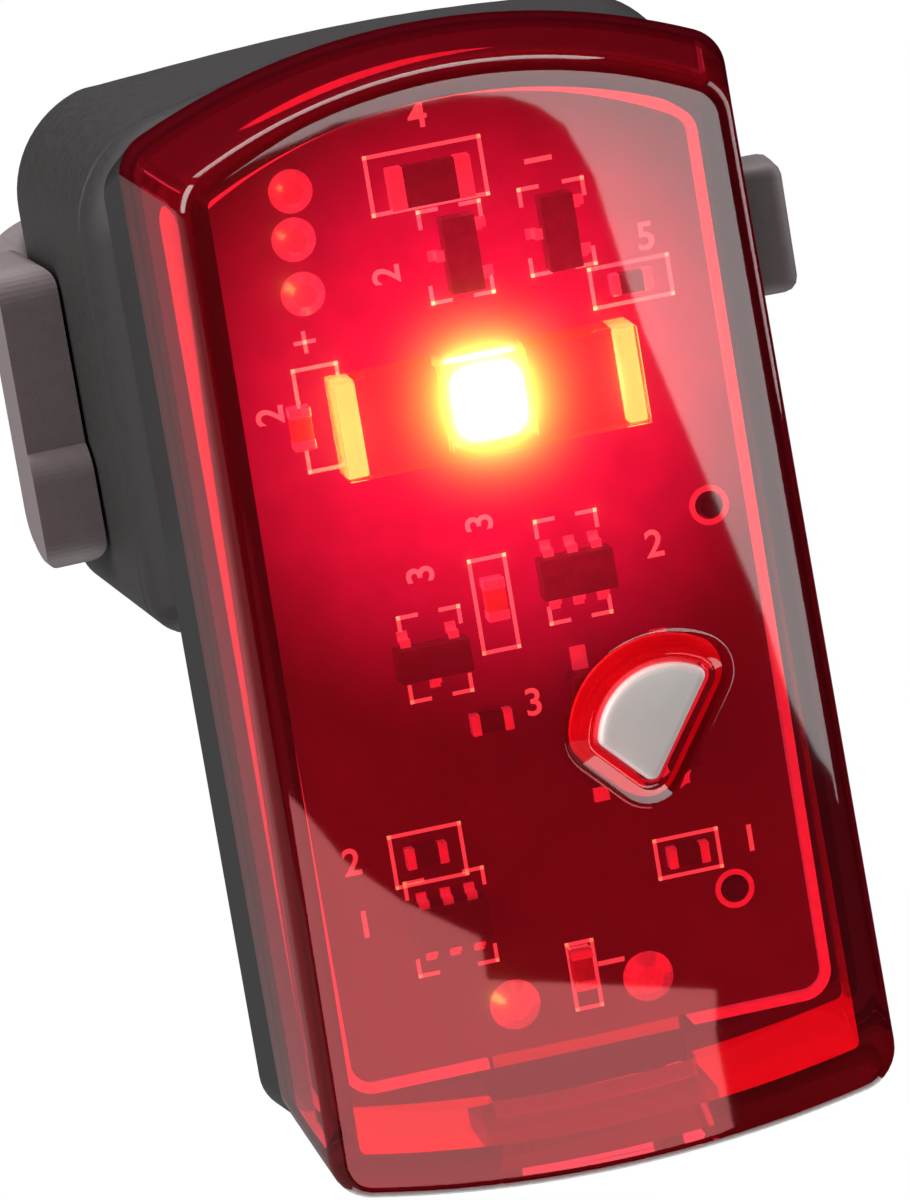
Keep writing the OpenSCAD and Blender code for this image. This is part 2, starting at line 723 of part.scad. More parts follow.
module switch_body() color([0.1, 0.1, 0.1]) in_lamp() difference() {
  chip(switch_at, switch_size, switch_size, switch_t, 0);
  rod_y(switch_at[0], switch_at[1], board_y - switch_t - cut, board_y - switch_t + key_travel + cut,
    plunger_d + 2 * plunger_gap);
}

// Width, thickness, reach and offset of the switch's leads
switch_lead_w = 0.6;
switch_lead_t = 0.2;
switch_lead_reach = 0.9;
switch_lead_x = 1.6;

module switch_leads() color([0.8, 0.78, 0.74]) in_lamp() {
  for (x = [-switch_lead_x, switch_lead_x], side = [-1, 1]) {
    z0 = switch_at[1] + side * switch_size / 2;
    z1 = z0 + side * switch_lead_reach;
    box([switch_at[0] + x - switch_lead_w / 2, board_y - switch_lead_t, min(z0, z1)],
      [switch_at[0] + x + switch_lead_w / 2, board_y, max(z0, z1)]);
  }
}

module switch_plunger() color([0.7, 0.7, 0.7]) in_lamp() {
  rod_y(switch_at[0], switch_at[1], plunger_y, board_y - switch_t + cut / 2, plunger_d);
}

module power_button() color([0.93, 0.95, 0.94]) in_lamp() {
  slab(-key_out, key_out + flange_y + flange_t) key_outline(0);
  slab(flange_y, flange_t) key_outline(flange_w);
  rod_y(switch_at[0], switch_at[1], flange_y, plunger_y - touch_gap, stem_d);
}

module battery_cell() color([0.75, 0.76, 0.78]) in_lamp() {
  box([-cell_w / 2, cell_y, cell_foot_z], [cell_w / 2, cell_y + cell_t, cell_top_z]);
}

module battery_pad() color([0.3, 0.3, 0.32]) in_lamp() {
  box([-cell_w / 2 + foam_margin, board_back_y, cell_foot_z + foam_margin],
    [cell_w / 2 - foam_margin, cell_y, cell_top_z - foam_margin]);
}

// Two nickel strips from the battery's top end to the board's back, behind the outer pads
module battery_tabs() color([0.8, 0.78, 0.7]) in_lamp() {
  strip_y = cell_y + cell_t / 2;
  for (k = [0, 1]) {
    x0 = pad_places[2][0] - cell_tab_w / 2 + k * (cell_tab_w + cell_tab_space);
    top = pad_places[2 - 2 * k][1];
    box([x0, strip_y, cell_top_z], [x0 + cell_tab_w, strip_y + cell_tab_t, top + cell_tab_t]);
    box([x0, board_back_y, top], [x0 + cell_tab_w, strip_y + cell_tab_t, top + cell_tab_t]);
  }
}

module usb_socket() color([0.8, 0.8, 0.82]) in_lamp() difference() {
  box([-usb_w / 2, board_back_y, usb_foot_z], [usb_w / 2, board_back_y + usb_t, usb_foot_z + usb_len]);
  box([-usb_w / 2 + usb_sheet, board_back_y + usb_sheet, usb_foot_z - cut],
    [usb_w / 2 - usb_sheet, board_back_y + usb_t - usb_sheet, usb_foot_z + usb_len - usb_sheet]);
}

// Height of the socket's base, and width and thickness of its tongue
tongue_base_h = 1.4;
tongue_w = 4;
tongue_t = 0.6;

module usb_tongue() color([0.1, 0.1, 0.1]) in_lamp() {
  back = usb_foot_z + usb_len - usb_sheet;
  box([-usb_w / 2 + usb_sheet, board_back_y + usb_sheet, back - tongue_base_h],
    [usb_w / 2 - usb_sheet, board_back_y + usb_t - usb_sheet, back]);
  box([-tongue_w / 2, usb_mid_y - tongue_t / 2, usb_foot_z + usb_sheet],
    [tongue_w / 2, usb_mid_y + tongue_t / 2, back]);
}

module usb_cover() color([0.12, 0.12, 0.12]) in_lamp() {
  cover_x = mouth_w / 2 + cover_margin;
  plug_x = mouth_w / 2 - plug_gap;
  box([-cover_x, cover_front_y, bar_z - cover_t / 2], [cover_x, cover_back_y, cover_top_z]);
  box([-cover_neck_w / 2, cover_back_y - cut, bar_z - cover_t / 2], [cover_neck_w / 2, bar_y, cover_top_z]);
  box([-plug_x, mouth_front_y + plug_gap, bar_z], [plug_x, mouth_back_y - plug_gap, cover_top_z + plug_in]);
  translate([-ear_x - ear_t, bar_y, bar_z]) rotate([0, 90, 0]) cylinder(d = bar_d, h = 2 * (ear_x + ear_t));
}

module slide_slot() {
  depth = lip_t + 2 * foot_gap + foot_head_t;
  floor_z = block_foot_z + slot_floor - foot_gap;
  neck = foot_neck_w / 2 + foot_gap;
  head = foot_head_w / 2 + foot_gap;
  box([-neck, block_front_y - cut, floor_z], [neck, block_front_y + depth, block_top_z + cut]);
  box([-head, block_front_y + lip_t, floor_z], [head, block_front_y + depth, block_top_z + cut]);
}

module mount_block() color([0.13, 0.13, 0.14]) {
  difference() {
    hull() {
      for (k = [0 : edge_steps]) {
        turn = 90 * k / edge_steps;
        deep = block_edge_r * (1 - sin(turn));
        inset = block_edge_r * (1 - cos(turn));
        slab(block_front_y + deep, slice) block_outline(block_front_y + deep, inset);
        slab(block_rear_y - deep - slice, slice) block_outline(block_rear_y - deep, inset);
      }
    }
    translate([0, 0, block_foot_z - cut - block_foot_sag])
      cylinder(r = saddle_r, h = block_top_z - block_foot_z + block_foot_sag + 2 * cut, $fn = 96);
    slide_slot();
    on_flank(1) {
      translate([bead_x, bead_y, strap_foot_z - bead_gap])
        cylinder(d = bead_d + 2 * bead_gap, h = strap_h + 2 * bead_gap);
      box([bead_x, bead_y - bead_neck_t / 2 - bead_gap, strap_foot_z - bead_gap],
        [cut, bead_y + bead_neck_t / 2 + bead_gap, strap_top_z + bead_gap]);
    }
  }
  on_flank(-1) box([-cut, -hook_back - hook_len / 2, strap_z - hook_h / 2],
    [hook_out, -hook_back + hook_len / 2, strap_z + hook_h / 2]);
}

module saddle_pad() color([0.2, 0.2, 0.21]) {
  rotate([0, 0, 270 - saddle_half_angle]) rotate_extrude(angle = 2 * saddle_half_angle, $fn = 96)
    translate([post_r, -pad_h / 2]) square([pad_t, pad_h]);
}

// The strap's outline seen from above: along the right flank, round its bend, and round the post to the left
module band_outline() {
  half = strap_t / 2;
  flank = -flank_angle;
  bend = [bend_x, bend_y];
  bend_turn = run_start_angle - flank;
  ear_end = bend - (ear_len - lug_len / 2) * ray(flank + 90);
  free_end = bend + (half + bend_gap) * ray(run_start_angle + 90);
  polygon(concat(
    [ear_end - half * ray(flank), ear_end + half * ray(flank)],
    [for (k = [0 : bend_steps]) bend + half * ray(flank + bend_turn * k / bend_steps)],
    [for (k = [0 : loop_steps]) (loop_r + half) * ray(loop_angle(k))],
    [flip(free_end + half * ray(run_start_angle)), flip(free_end - half * ray(run_start_angle))],
    [for (k = [loop_steps : -1 : 0]) (loop_r - half) * ray(loop_angle(k))],
    [bend - half / cos(bend_turn / 2) * ray(flank + bend_turn / 2)]
  ));
}

module strap_band() color([0.15, 0.15, 0.16]) {
  translate([0, 0, strap_foot_z]) linear_extrude(height = strap_h) band_outline();
  on_flank(1) {
    slab(-ear_len, lug_len)
      rounded([flank_gap, strap_foot_z - lug_over], [flank_gap + lug_t, strap_top_z + lug_over],
        lug_corner_r);
    box([bead_x, bead_y - bead_neck_t / 2, strap_foot_z],
      [flank_gap + cut, bead_y + bead_neck_t / 2, strap_top_z]);
    translate([bead_x, bead_y, strap_foot_z]) cylinder(d = bead_d, h = strap_h);
  }
}

// The tab's side outline, drawn along the flank and up: a plate with a finger pad at its lower end
module tab_outline() {
  offset(r = tab_corner_r, $fn = corner_fn) offset(delta = -tab_corner_r) union() {
    translate([-tab_len, tab_foot_z]) square([tab_len - bend_len, tab_h]);
    translate([-tab_len - grip_reach, tab_foot_z]) square([tab_len + grip_reach - bend_len, grip_h]);
  }
}

module strap_tab() color([0.16, 0.16, 0.17]) on_flank(-1) difference() {
  union() {
    intersection() {
      translate([0, 0, tab_foot_z - cut]) linear_extrude(height = tab_h + 2 * cut) polygon([
        [flank_gap, 0], [flank_gap, -tab_len - grip_reach], [flank_gap + tab_tip_t, -tab_len - grip_reach],
        [flank_gap + tab_root_t, -2 * bend_len], [flank_gap + tab_root_t, 0]
      ]);
      rotate([90, 0, 90]) linear_extrude(height = flank_gap + tab_thick + cut) tab_outline();
      slab(-tab_len - grip_reach - cut, tab_len + grip_reach + 2 * cut)
        rounded([flank_gap, tab_foot_z], [flank_gap + tab_thick, tab_top_z], tab_edge_r);
    }
    box([flank_gap, -2 * bend_len, strap_foot_z], [flank_gap + strap_t, 0, strap_top_z]);
    translate([bend_out, 0, strap_foot_z]) cylinder(d = strap_t, h = strap_h);
  }
  box([-cut, -hook_back - hook_len / 2 - hook_gap, strap_z - hook_h / 2 - hook_gap],
    [hook_out + hook_gap, -hook_back + hook_len / 2 + hook_gap, strap_z + hook_h / 2 + hook_gap]);
}

lens();
rear_housing();
housing_seal();
board_frame();
circuit_board();
led_package();
led_die();
led_optic();
sense_resistor();
chip_resistors();
chip_capacitors();
transistors();
driver_chips();
chip_leads();
solder_joints();
switch_body();
switch_leads();
switch_plunger();
power_button();
battery_cell();
battery_pad();
battery_tabs();
usb_socket();
usb_tongue();
usb_cover();
mount_block();
saddle_pad();
strap_band();
strap_tab();
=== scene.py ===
"""Looks of the bike rear light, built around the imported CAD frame.

Pieces of the lamp are drawn in the lamp's own millimetres: x to the right, y back from the lens's front
face, and z up from the lens's middle. Pieces of the bracket are drawn in the row frame's millimetres.
"""

import json
import logging
import math
from collections.abc import Iterable, Sequence
from dataclasses import dataclass, field
from enum import Enum

import bmesh
import bpy
from mathutils import Matrix, Vector


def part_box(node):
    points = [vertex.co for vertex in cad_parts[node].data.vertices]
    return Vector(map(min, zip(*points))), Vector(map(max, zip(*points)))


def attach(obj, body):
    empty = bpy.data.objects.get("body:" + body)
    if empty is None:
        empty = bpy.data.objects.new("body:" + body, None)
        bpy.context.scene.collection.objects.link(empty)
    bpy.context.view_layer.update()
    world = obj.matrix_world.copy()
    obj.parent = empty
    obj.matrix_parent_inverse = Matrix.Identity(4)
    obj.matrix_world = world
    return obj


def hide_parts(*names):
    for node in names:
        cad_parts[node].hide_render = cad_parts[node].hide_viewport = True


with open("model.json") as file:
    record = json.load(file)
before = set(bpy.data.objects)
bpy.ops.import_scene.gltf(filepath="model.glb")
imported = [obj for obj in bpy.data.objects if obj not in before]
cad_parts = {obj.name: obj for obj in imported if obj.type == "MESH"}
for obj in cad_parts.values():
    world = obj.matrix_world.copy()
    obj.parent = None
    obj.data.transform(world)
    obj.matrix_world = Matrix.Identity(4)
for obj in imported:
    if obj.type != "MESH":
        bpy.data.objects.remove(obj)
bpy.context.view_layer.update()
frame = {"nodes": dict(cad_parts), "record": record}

LOG = logging.getLogger("rear_light")
MM = 0.001
BOARD_Y = 3.8
LAMP_Z = -11.5
Flat = tuple[float, float]
Colour = tuple[float, float, float]
Ring = list[bmesh.types.BMVert]
Material = bpy.types.Material
Socket = bpy.types.NodeSocket
WHITE: Colour = (1.0, 1.0, 1.0)


class Body(Enum):
    """CAD bodies that pieces ride on."""

    BRACKET = "bracket"
    LAMP = "lamp"
    BUTTON = "power_button"


class Slot(Enum):
    """Material slots of the record."""

    LENS = "lens_red"
    SHELL = "shell_black"
    SEAL = "seal_rubber"
    FRAME = "frame_white"
    BOARD = "board_laminate"
    LED_WHITE = "led_white"
    LED_GLOW = "led_glow"
    OPTIC = "clear_optic"
    CHIP = "chip_black"
    CAPACITOR = "capacitor_body"
    TIN = "tinned_metal"
    KEY = "key_white"
    CELL = "cell_foil"
    FOAM = "foam_grey"
    SOCKET = "socket_steel"
    BRACKET = "bracket_soft"
    RUBBER = "strap_rubber"


def lamp_origin() -> Vector:
    """Finds the lamp's own origin in the row frame."""
    low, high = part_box("circuit_board")
    return Vector(((low.x + high.x) / 2, low.y - BOARD_Y * MM, LAMP_Z * MM))


def lamp_box(node: str) -> tuple[Vector, Vector]:
    """Finds a CAD node's box in the lamp's frame.

    Args:
        node: the node's name.

    Returns:
        Its lowest and highest corners, in lamp millimetres.
    """
    origin = lamp_origin()
    low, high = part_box(node)
    return (low - origin) / MM, (high - origin) / MM


def show(name: str, data: bpy.types.ID) -> bpy.types.Object:
    """Makes an object and puts it in the scene.

    Args:
        name: its name.
        data: its mesh, curve, light or camera.

    Returns:
        The object.
    """
    made = bpy.data.objects.new(name, data)
    bpy.context.scene.collection.objects.link(made)
    return made


def arc_radius(chord: float, rise: float) -> float:
    """Radius of an arc from its chord and rise."""
    return (chord * chord / 4 + rise * rise) / (2 * rise)


def along_line(base: Vector, along: Vector, centre: Vector, radius: float, sign: int) -> Vector:
    """Point of a line at a distance from a centre.

    Args:
        base: a point of the line.
        along: the line's unit direction.
        centre: the centre.
        radius: the distance from it.
        sign: 1 for the further of the two points, -1 for the nearer.

    Returns:
        The point.
    """
    back = base - centre
    b = along.dot(back)
    q = back.dot(back) - radius * radius
    return base + along * (-b + sign * math.sqrt(max(b * b - q, 0.0)))


def arc_points(centre: Vector, radius: float, start: float, end: float, steps: int) -> list[Flat]:
    """Points on an arc, both ends included."""
    turns = (start + (end - start) * k / steps for k in range(steps + 1))
    return [(centre.x + radius * math.cos(a), centre.y + radius * math.sin(a)) for a in turns]


@dataclass(frozen=True)
class Arched:
    """A flat outline with straight sides, an arched top and bottom, and round corners."""

    top_w: float
    bottom_w: float
    head: float
    foot: float
    rise: float
    sag: float
    corner_r: float
    foot_r: float | None = None
    arc_steps: int = 28
    side_steps: int = 10
    corner_steps: int = 8
    least_r: float = 0.12

    def points(self, inset: float = 0.0) -> list[Flat]:
        """Draws the outline anticlockwise from the middle of its foot.

        Args:
            inset: how far it is drawn in.

        Returns:
            The outline's points, as many for every inset.
        """
        lower = Vector((self.bottom_w / 2, self.foot))
        along = (Vector((self.top_w / 2, self.head)) - lower).normalized()
        inward = Vector((-along.y, along.x))
        corner = max(self.corner_r - inset, self.least_r)
        foot = max((self.corner_r if self.foot_r is None else self.foot_r) - inset, self.least_r)
        top_r = arc_radius(self.top_w, self.rise)
        low_r = arc_radius(self.bottom_w, self.sag)
        top_c = Vector((0, self.head + self.rise - top_r))
        low_c = Vector((0, self.foot - self.sag + low_r))
        top_f = along_line(lower + inward * (inset + corner), along, top_c, top_r - inset - corner, 1)
        low_f = along_line(lower + inward * (inset + foot), along, low_c, low_r - inset - foot, -1)
        low_a = math.atan2(low_f.y - low_c.y, low_f.x)
        top_a = math.atan2(top_f.y - top_c.y, top_f.x)
        out_a = math.atan2(-inward.y, -inward.x)
        half = arc_points(low_c, low_r - inset, -math.pi / 2, low_a, self.arc_steps)[:-1]
        half += arc_points(low_f, foot, low_a, out_a, self.corner_steps)
        high = arc_points(top_f, corner, out_a, top_a, self.corner_steps)
        start, end = Vector(half[-1]), Vector(high[0])
        half += [tuple(start.lerp(end, k / self.side_steps)) for k in range(1, self.side_steps)]
        half += high[:-1] + arc_points(top_c, top_r - inset, top_a, math.pi / 2, self.arc_steps)
        return half + [(-x, z) for x, z in reversed(half[1:-1])]


@dataclass(frozen=True)
class KeyOutline:
    """The key's outline: a disc cut by two straight sides that meet at a tip."""

    radius: float = 2.86
    corner_r: float = 0.35
    x: float = 4.4
    z: float = -4.277
    tip: Flat = (-0.34, -0.6)
    left: Flat = (-1.15, 0.27)
    right: Flat = (0.75, 0.97)
    corner_steps: int = 8
    arc_steps: int = 30
    side_steps: int = 6

    def points(self, grow: float = 0.0) -> list[Flat]:
        """Draws the outline anticlockwise from its tip.

        Args:
            grow: how far it is grown.

        Returns:
            The outline's points, as many for every grow.
        """
        tip, left, right = (Vector(p) * self.radius for p in (self.tip, self.left, self.right))
        to_right, to_left = (right - tip).normalized(), (left - tip).normalized()
        right_out = Vector((to_right.y, -to_right.x))
        left_out = Vector((-to_left.y, to_left.x))
        base_r, base_l = tip - right_out * self.corner_r, tip - left_out * self.corner_r
        gap = base_l - base_r
        cross = to_right.x * to_left.y - to_right.y * to_left.x
        corner = base_r + to_right * ((gap.x * to_left.y - gap.y * to_left.x) / cross)
        inner = self.radius - self.corner_r
        far_right = along_line(corner, to_right, Vector((0, 0)), inner, 1)
        far_left = along_line(corner, to_left, Vector((0, 0)), inner, 1)
        rho = self.corner_r + grow
        a_right, a_left = math.atan2(*reversed(right_out)), math.atan2(*reversed(left_out)) % math.tau
        a1, a2 = math.atan2(far_right.y, far_right.x), math.atan2(far_left.y, far_left.x) % math.tau
        loop = arc_points(corner, rho, a_left - math.tau, a_right, self.corner_steps)
        start, end = Vector(loop[-1]), far_right + right_out * rho
        loop += [tuple(start.lerp(end, k / self.side_steps)) for k in range(1, self.side_steps)]
        loop += arc_points(far_right, rho, a_right, a1, self.corner_steps)
        loop += arc_points(Vector((0, 0)), self.radius + grow, a1, a2, self.arc_steps)[1:-1]
        loop += arc_points(far_left, rho, a2, a_left, self.corner_steps)
        start, end = Vector(loop[-1]), Vector(loop[0])
        loop += [tuple(start.lerp(end, k / self.side_steps)) for k in range(1, self.side_steps)]
        return [(self.x + x, self.z + z) for x, z in loop]


class Surface:
    """A mesh under construction, in millimetres."""

    bevel_steps: int = 3
    rod_sides: int = 40

    def __init__(self) -> None:
        self.bm = bmesh.new()

    def ring(self, outline: Iterable[Flat], y: float) -> Ring:
        """Adds a ring of points drawn in x and z."""
        return [self.bm.verts.new((x, y, z)) for x, z in outline]

    def loft(self, rings: Sequence[Ring]) -> None:
        """Joins rings one after another by bands of faces.

        Args:
            rings: the rings in order, all with as many vertices.
        """
        for one, two in zip(rings, rings[1:], strict=False):
            for k in range(len(one)):
                m = (k + 1) % len(one)
                self.bm.faces.new((one[k], one[m], two[m], two[k]))

    def solid(self, rings: Sequence[Ring]) -> None:
        """Joins rings and closes both ends.

        Args:
            rings: the rings in order, the first and the last of them flat.
        """
        self.loft(rings)
        self.bm.faces.new(rings[0])
        self.bm.faces.new(rings[-1])

    def fill(self, *rings: Ring) -> None:
        """Fills the flat space between rings.

        Args:
            rings: the outer ring and the holes in it.
        """
        edges = []
        for ring in rings:
            for k, vert in enumerate(ring):
                pair = (vert, ring[(k + 1) % len(ring)])
                edges.append(self.bm.edges.get(pair) or self.bm.edges.new(pair))
        bmesh.ops.triangle_fill(self.bm, use_beauty=True, use_dissolve=False, edges=edges)

    def box(self, low: Sequence[float], high: Sequence[float], edge: float = 0.0) -> None:
        """Adds a box with round edges.

        Args:
            low: its lowest corner.
            high: its highest corner.
            edge: radius of its edges.
        """
        size = Vector(high) - Vector(low)
        place = Matrix.Translation((Vector(low) + Vector(high)) / 2) @ Matrix.Diagonal((*size, 1))
        made = bmesh.ops.create_cube(self.bm, size=1, matrix=place)["verts"]
        if edge > 0:
            edges = list(dict.fromkeys(e for v in made for e in v.link_edges))
            bmesh.ops.bevel(self.bm, geom=edges, offset=edge, offset_type="OFFSET", segments=self.bevel_steps,
                            profile=0.5, affect="EDGES", clamp_overlap=True, material=-1)

    def rod(self, start: Sequence[float], end: Sequence[float], radius: float) -> None:
        """Adds a round bar.

        Args:
            start: middle of its first end.
            end: middle of its other end.
            radius: its radius.
        """
        one, two = Vector(start), Vector(end)
        turn = (two - one).to_track_quat("Z", "Y").to_matrix().to_4x4()
        place = Matrix.Translation((one + two) / 2) @ turn
        bmesh.ops.create_cone(self.bm, cap_ends=True, cap_tris=False, segments=self.rod_sides, radius1=radius,
                              radius2=radius, depth=(two - one).length, matrix=place)

    def piece(self, name: str) -> bpy.types.Object:
        """Makes the object and leaves it in millimetres.

        Args:
            name: the object's name.

        Returns:
            The object.
        """
        bmesh.ops.recalc_face_normals(self.bm, faces=self.bm.faces[:])
        mesh = bpy.data.meshes.new(name)
        self.bm.to_mesh(mesh)
        self.bm.free()
        return show(name, mesh)


def carve(piece: bpy.types.Object, cutters: Sequence[bpy.types.Object]) -> None:
    """Cuts other objects out of a piece and removes them.

    Args:
        piece: the piece.
        cutters: the objects to cut out.
    """
    for cutter in cutters:
        cut = piece.modifiers.new("cut", "BOOLEAN")
        cut.operation, cut.solver, cut.object = "DIFFERENCE", "EXACT", cutter
    settle(piece)
    for cutter in cutters:
        bpy.data.objects.remove(cutter)


def settle(piece: bpy.types.Object) -> None:
    """Turns a piece's modifiers into mesh.

    Args:
        piece: the piece.
    """
    bpy.context.view_layer.update()
    graph = bpy.context.evaluated_depsgraph_get()
    mesh = bpy.data.meshes.new_from_object(piece.evaluated_get(graph))
    piece.modifiers.clear()
    piece.data = mesh


def cad_copy(node: str, radius: float, segments: int = 3) -> bpy.types.Object:
    """Copies a CAD node into millimetres and rounds its edges.

    Args:
        node: the node's name.
        radius: radius of the rounding.
        segments: steps of the rounding.

    Returns:
        The copy, in the row frame's millimetres.
    """
    joined, flat_angle, sharp_angle = 1e-4, 1.0, 30.0
    copy = Surface()
    bm = copy.bm
    bm.from_mesh(frame["nodes"][node].data)
    bm.transform(Matrix.Scale(1 / MM, 4))
    bmesh.ops.remove_doubles(bm, verts=bm.verts[:], dist=joined)
    bmesh.ops.dissolve_limit(bm, angle_limit=math.radians(flat_angle), verts=bm.verts[:], edges=bm.edges[:])
    made = copy.piece(node + "_look")
    bevel = made.modifiers.new("round", "BEVEL")
    bevel.width, bevel.segments, bevel.profile = radius, segments, 0.5
    bevel.limit_method, bevel.angle_limit = "ANGLE", math.radians(sharp_angle)
    bevel.use_clamp_overlap = True
    settle(made)
    return made


@dataclass(frozen=True)
class Studio:
    """Camera, lights, floor and the cards that show in the lens."""

    azimuth: float = -9.0
    elevation: float = 12.686
    roll: float = 9.605
    distance: float = 275.324
    focal_px: float = 7174.73
    frame_h_px: float = 1200.0
    target: tuple[float, float, float] = (-2.174, 4.522, 1.481)
    sensor: float = 36.0
    clip: Flat = (0.01, 20.0)
    floor_z: float = -0.09
    floor_reach: float = 6.0
    world_glow: float = 0.3
    spill_power: float = 0.03
    spill_colour: Colour = (1.0, 0.02, 0.09)
    spill_r: float = 0.002
    spill_place: tuple[float, float, float] = (-8, 12, 2)

    def axes(self) -> tuple[Vector, Vector, Vector]:
        """Directions of the camera before its roll.

        Returns:
            Back, right and up.
        """
        az, el = math.radians(self.azimuth), math.radians(self.elevation)
        back = Vector((math.sin(az) * math.cos(el), -math.cos(az) * math.cos(el), math.sin(el)))
        right = Vector((math.cos(az), math.sin(az), 0))
        return back, right, back.cross(right)

    def camera(self, origin: Vector) -> None:
        """Adds the camera that the photograph was taken with.

        Args:
            origin: the lamp's origin in the row frame.
        """
        back, right, up = self.axes()
        turn = math.radians(self.roll)
        x_axis = right * math.cos(turn) - up * math.sin(turn)
        y_axis = right * math.sin(turn) + up * math.cos(turn)
        data = bpy.data.cameras.new("camera")
        data.sensor_fit, data.sensor_height = "VERTICAL", self.sensor
        data.lens = self.sensor * self.focal_px / self.frame_h_px
        data.clip_start, data.clip_end = self.clip
        place = Matrix((x_axis, y_axis, back)).transposed().to_4x4()
        place.translation = origin + (Vector(self.target) + back * self.distance) * MM
        camera = show("camera", data)
        camera.matrix_world = place
        bpy.context.scene.camera = camera

    @staticmethod
    def softbox(name: str, place: Vector, aim: Vector, size: Flat, power: float, colour: Colour) -> None:
        """Adds one softbox.

        Args:
            name: its name.
            place: where it stands, in metres.
            aim: the point that it faces.
            size: its width and height, in metres.
            power: its power in watts.
            colour: its colour.
        """
        data = bpy.data.lights.new(name, "AREA")
        data.shape, data.size, data.size_y = "RECTANGLE", size[0], size[1]
        data.energy, data.color = power, colour
        turn = (place - aim).to_track_quat("Z", "Y").to_matrix().to_4x4()
        show(name, data).matrix_world = Matrix.Translation(place) @ turn

    def spill(self, origin: Vector) -> None:
        """Adds the red light that leaks out between lamp and bracket.

        Args:
            origin: the lamp's origin in the row frame.
        """
        data = bpy.data.lights.new("red_spill", "POINT")
        data.energy, data.color, data.shadow_soft_size = self.spill_power, self.spill_colour, self.spill_r
        show("red_spill", data).location = origin + Vector(self.spill_place) * MM

    def card(self, name: str, shape: Sequence[Flat], origin: Vector, away: float, glow: float,
             colour: Colour = WHITE) -> None:
        """Adds a card that the lens's front face mirrors.

        Args:
            name: its name.
            shape: the card's corners where they show on the face, in lamp millimetres.
            origin: the lamp's origin in the row frame.
            away: the card's distance from the face.
            glow: its brightness.
            colour: its colour.
        """
        back, _, _ = self.axes()
        mirror = Vector(self.target) + back * self.distance
        mirror.y = -mirror.y
        verts = []
        for x, z in shape:
            corner = Vector((x, 0, z))
            ray = corner - mirror
            verts.append(origin + (corner - ray * (away / ray.y)) * MM)
        self.panel(name, verts, glow, colour)

    @staticmethod
    def panel(name: str, verts: Sequence[Vector], glow: float, colour: Colour = WHITE,
              mirrored: bool = True) -> None:
        """Adds a flat glowing panel.

        Args:
            name: its name.
            verts: its corners, in metres.
            glow: its brightness.
            colour: its colour.
            mirrored: whether it only shows in glossy surfaces, or else never in them.
        """
        mesh = bpy.data.meshes.new(name)
        mesh.from_pydata(verts, [], [list(range(len(verts)))])
        mesh.materials.append(Glow(name, colour, glow).build())
        made = show(name, mesh)
        made.visible_diffuse = made.visible_shadow = False
        made.visible_camera = made.visible_transmission = not mirrored
        made.visible_glossy = mirrored

    def flat_panel(self, name: str, low: Flat, high: Flat, lift: float, glow: float,
                   mirrored: bool = True) -> None:
        """Adds a level rectangle over the floor."""
        spread = (low, (high[0], low[1]), high, (low[0], high[1]))
        self.panel(name, [Vector((x, y, self.floor_z + lift)) for x, y in spread], glow, mirrored=mirrored)

    def build(self, origin: Vector) -> None:
        """Sets up the studio.

        Args:
            origin: the lamp's origin in the row frame.
        """
        self.camera(origin)
        self.softbox("left_softbox", Vector((-0.42, -0.12, 0.2)), origin, (0.3, 0.4), 3.2, (1, 0.99, 0.97))
        self.softbox("top_softbox", Vector((0.0, 0.1, 0.45)), origin, (0.5, 0.3), 2.6, WHITE)
        self.spill(origin)
        self.softbox("right_softbox", Vector((0.42, -0.05, 0.1)), origin, (0.25, 0.4), 1.2, WHITE)
        pale = [(-5.5, 20.9), (-4.4, 21.2), (0.3, 21.4), (2.2, 21.0), (3.3, 20.4), (4.2, 19.5), (5.0, 17.4),
                (5.9, 11.3), (7.8, 3.5), (8.8, -0.7), (9.2, -3.8), (9.9, -6.2), (10.9, -8.2), (16, -8.6),
                (16, 34), (-9, 34), (-9, 20.2)]
        low = [(-16, -3.5), (-10.4, -3.6), (-10, -4.2), (-8.7, -6.6), (-6.8, -8.6), (-4.1, -10.6),
               (-4.1, -12.3), (4.6, -14.6), (4.3, -16.3), (4.4, -20.6), (4.5, -26), (-16, -26)]
        dark = [(-30, -40), (30, -40), (30, 40), (-30, 40)]
        rose = (1.0, 0.3, 0.31)
        self.card("pale_card", pale, origin, 120, 4.8)
        self.card("low_card", low, origin, 121, 6.5, rose)
        self.card("dark_card", dark, origin, 130, 0.02)
        self.flat_panel("floor_card", (-1.6, -0.3), (-0.02, 2.0), 0.0005, 0.32)
        self.flat_panel("foot_card", (-0.04, -0.08), (0.05, 0.02), 0.005, 4.0)
        reach = self.floor_reach
        self.flat_panel("floor", (-reach, -reach), (reach, reach), 0.0, 1.0, mirrored=False)
        world = bpy.data.worlds.new("studio")
        world.use_nodes = True
        background = world.node_tree.nodes["Background"].inputs
        background["Color"].default_value = (*WHITE, 1)
        background["Strength"].default_value = self.world_glow
        world.cycles_visibility.glossy = False
        bpy.context.scene.world = world
        bpy.context.scene.view_settings.view_transform = "Standard"
        self.bloom()

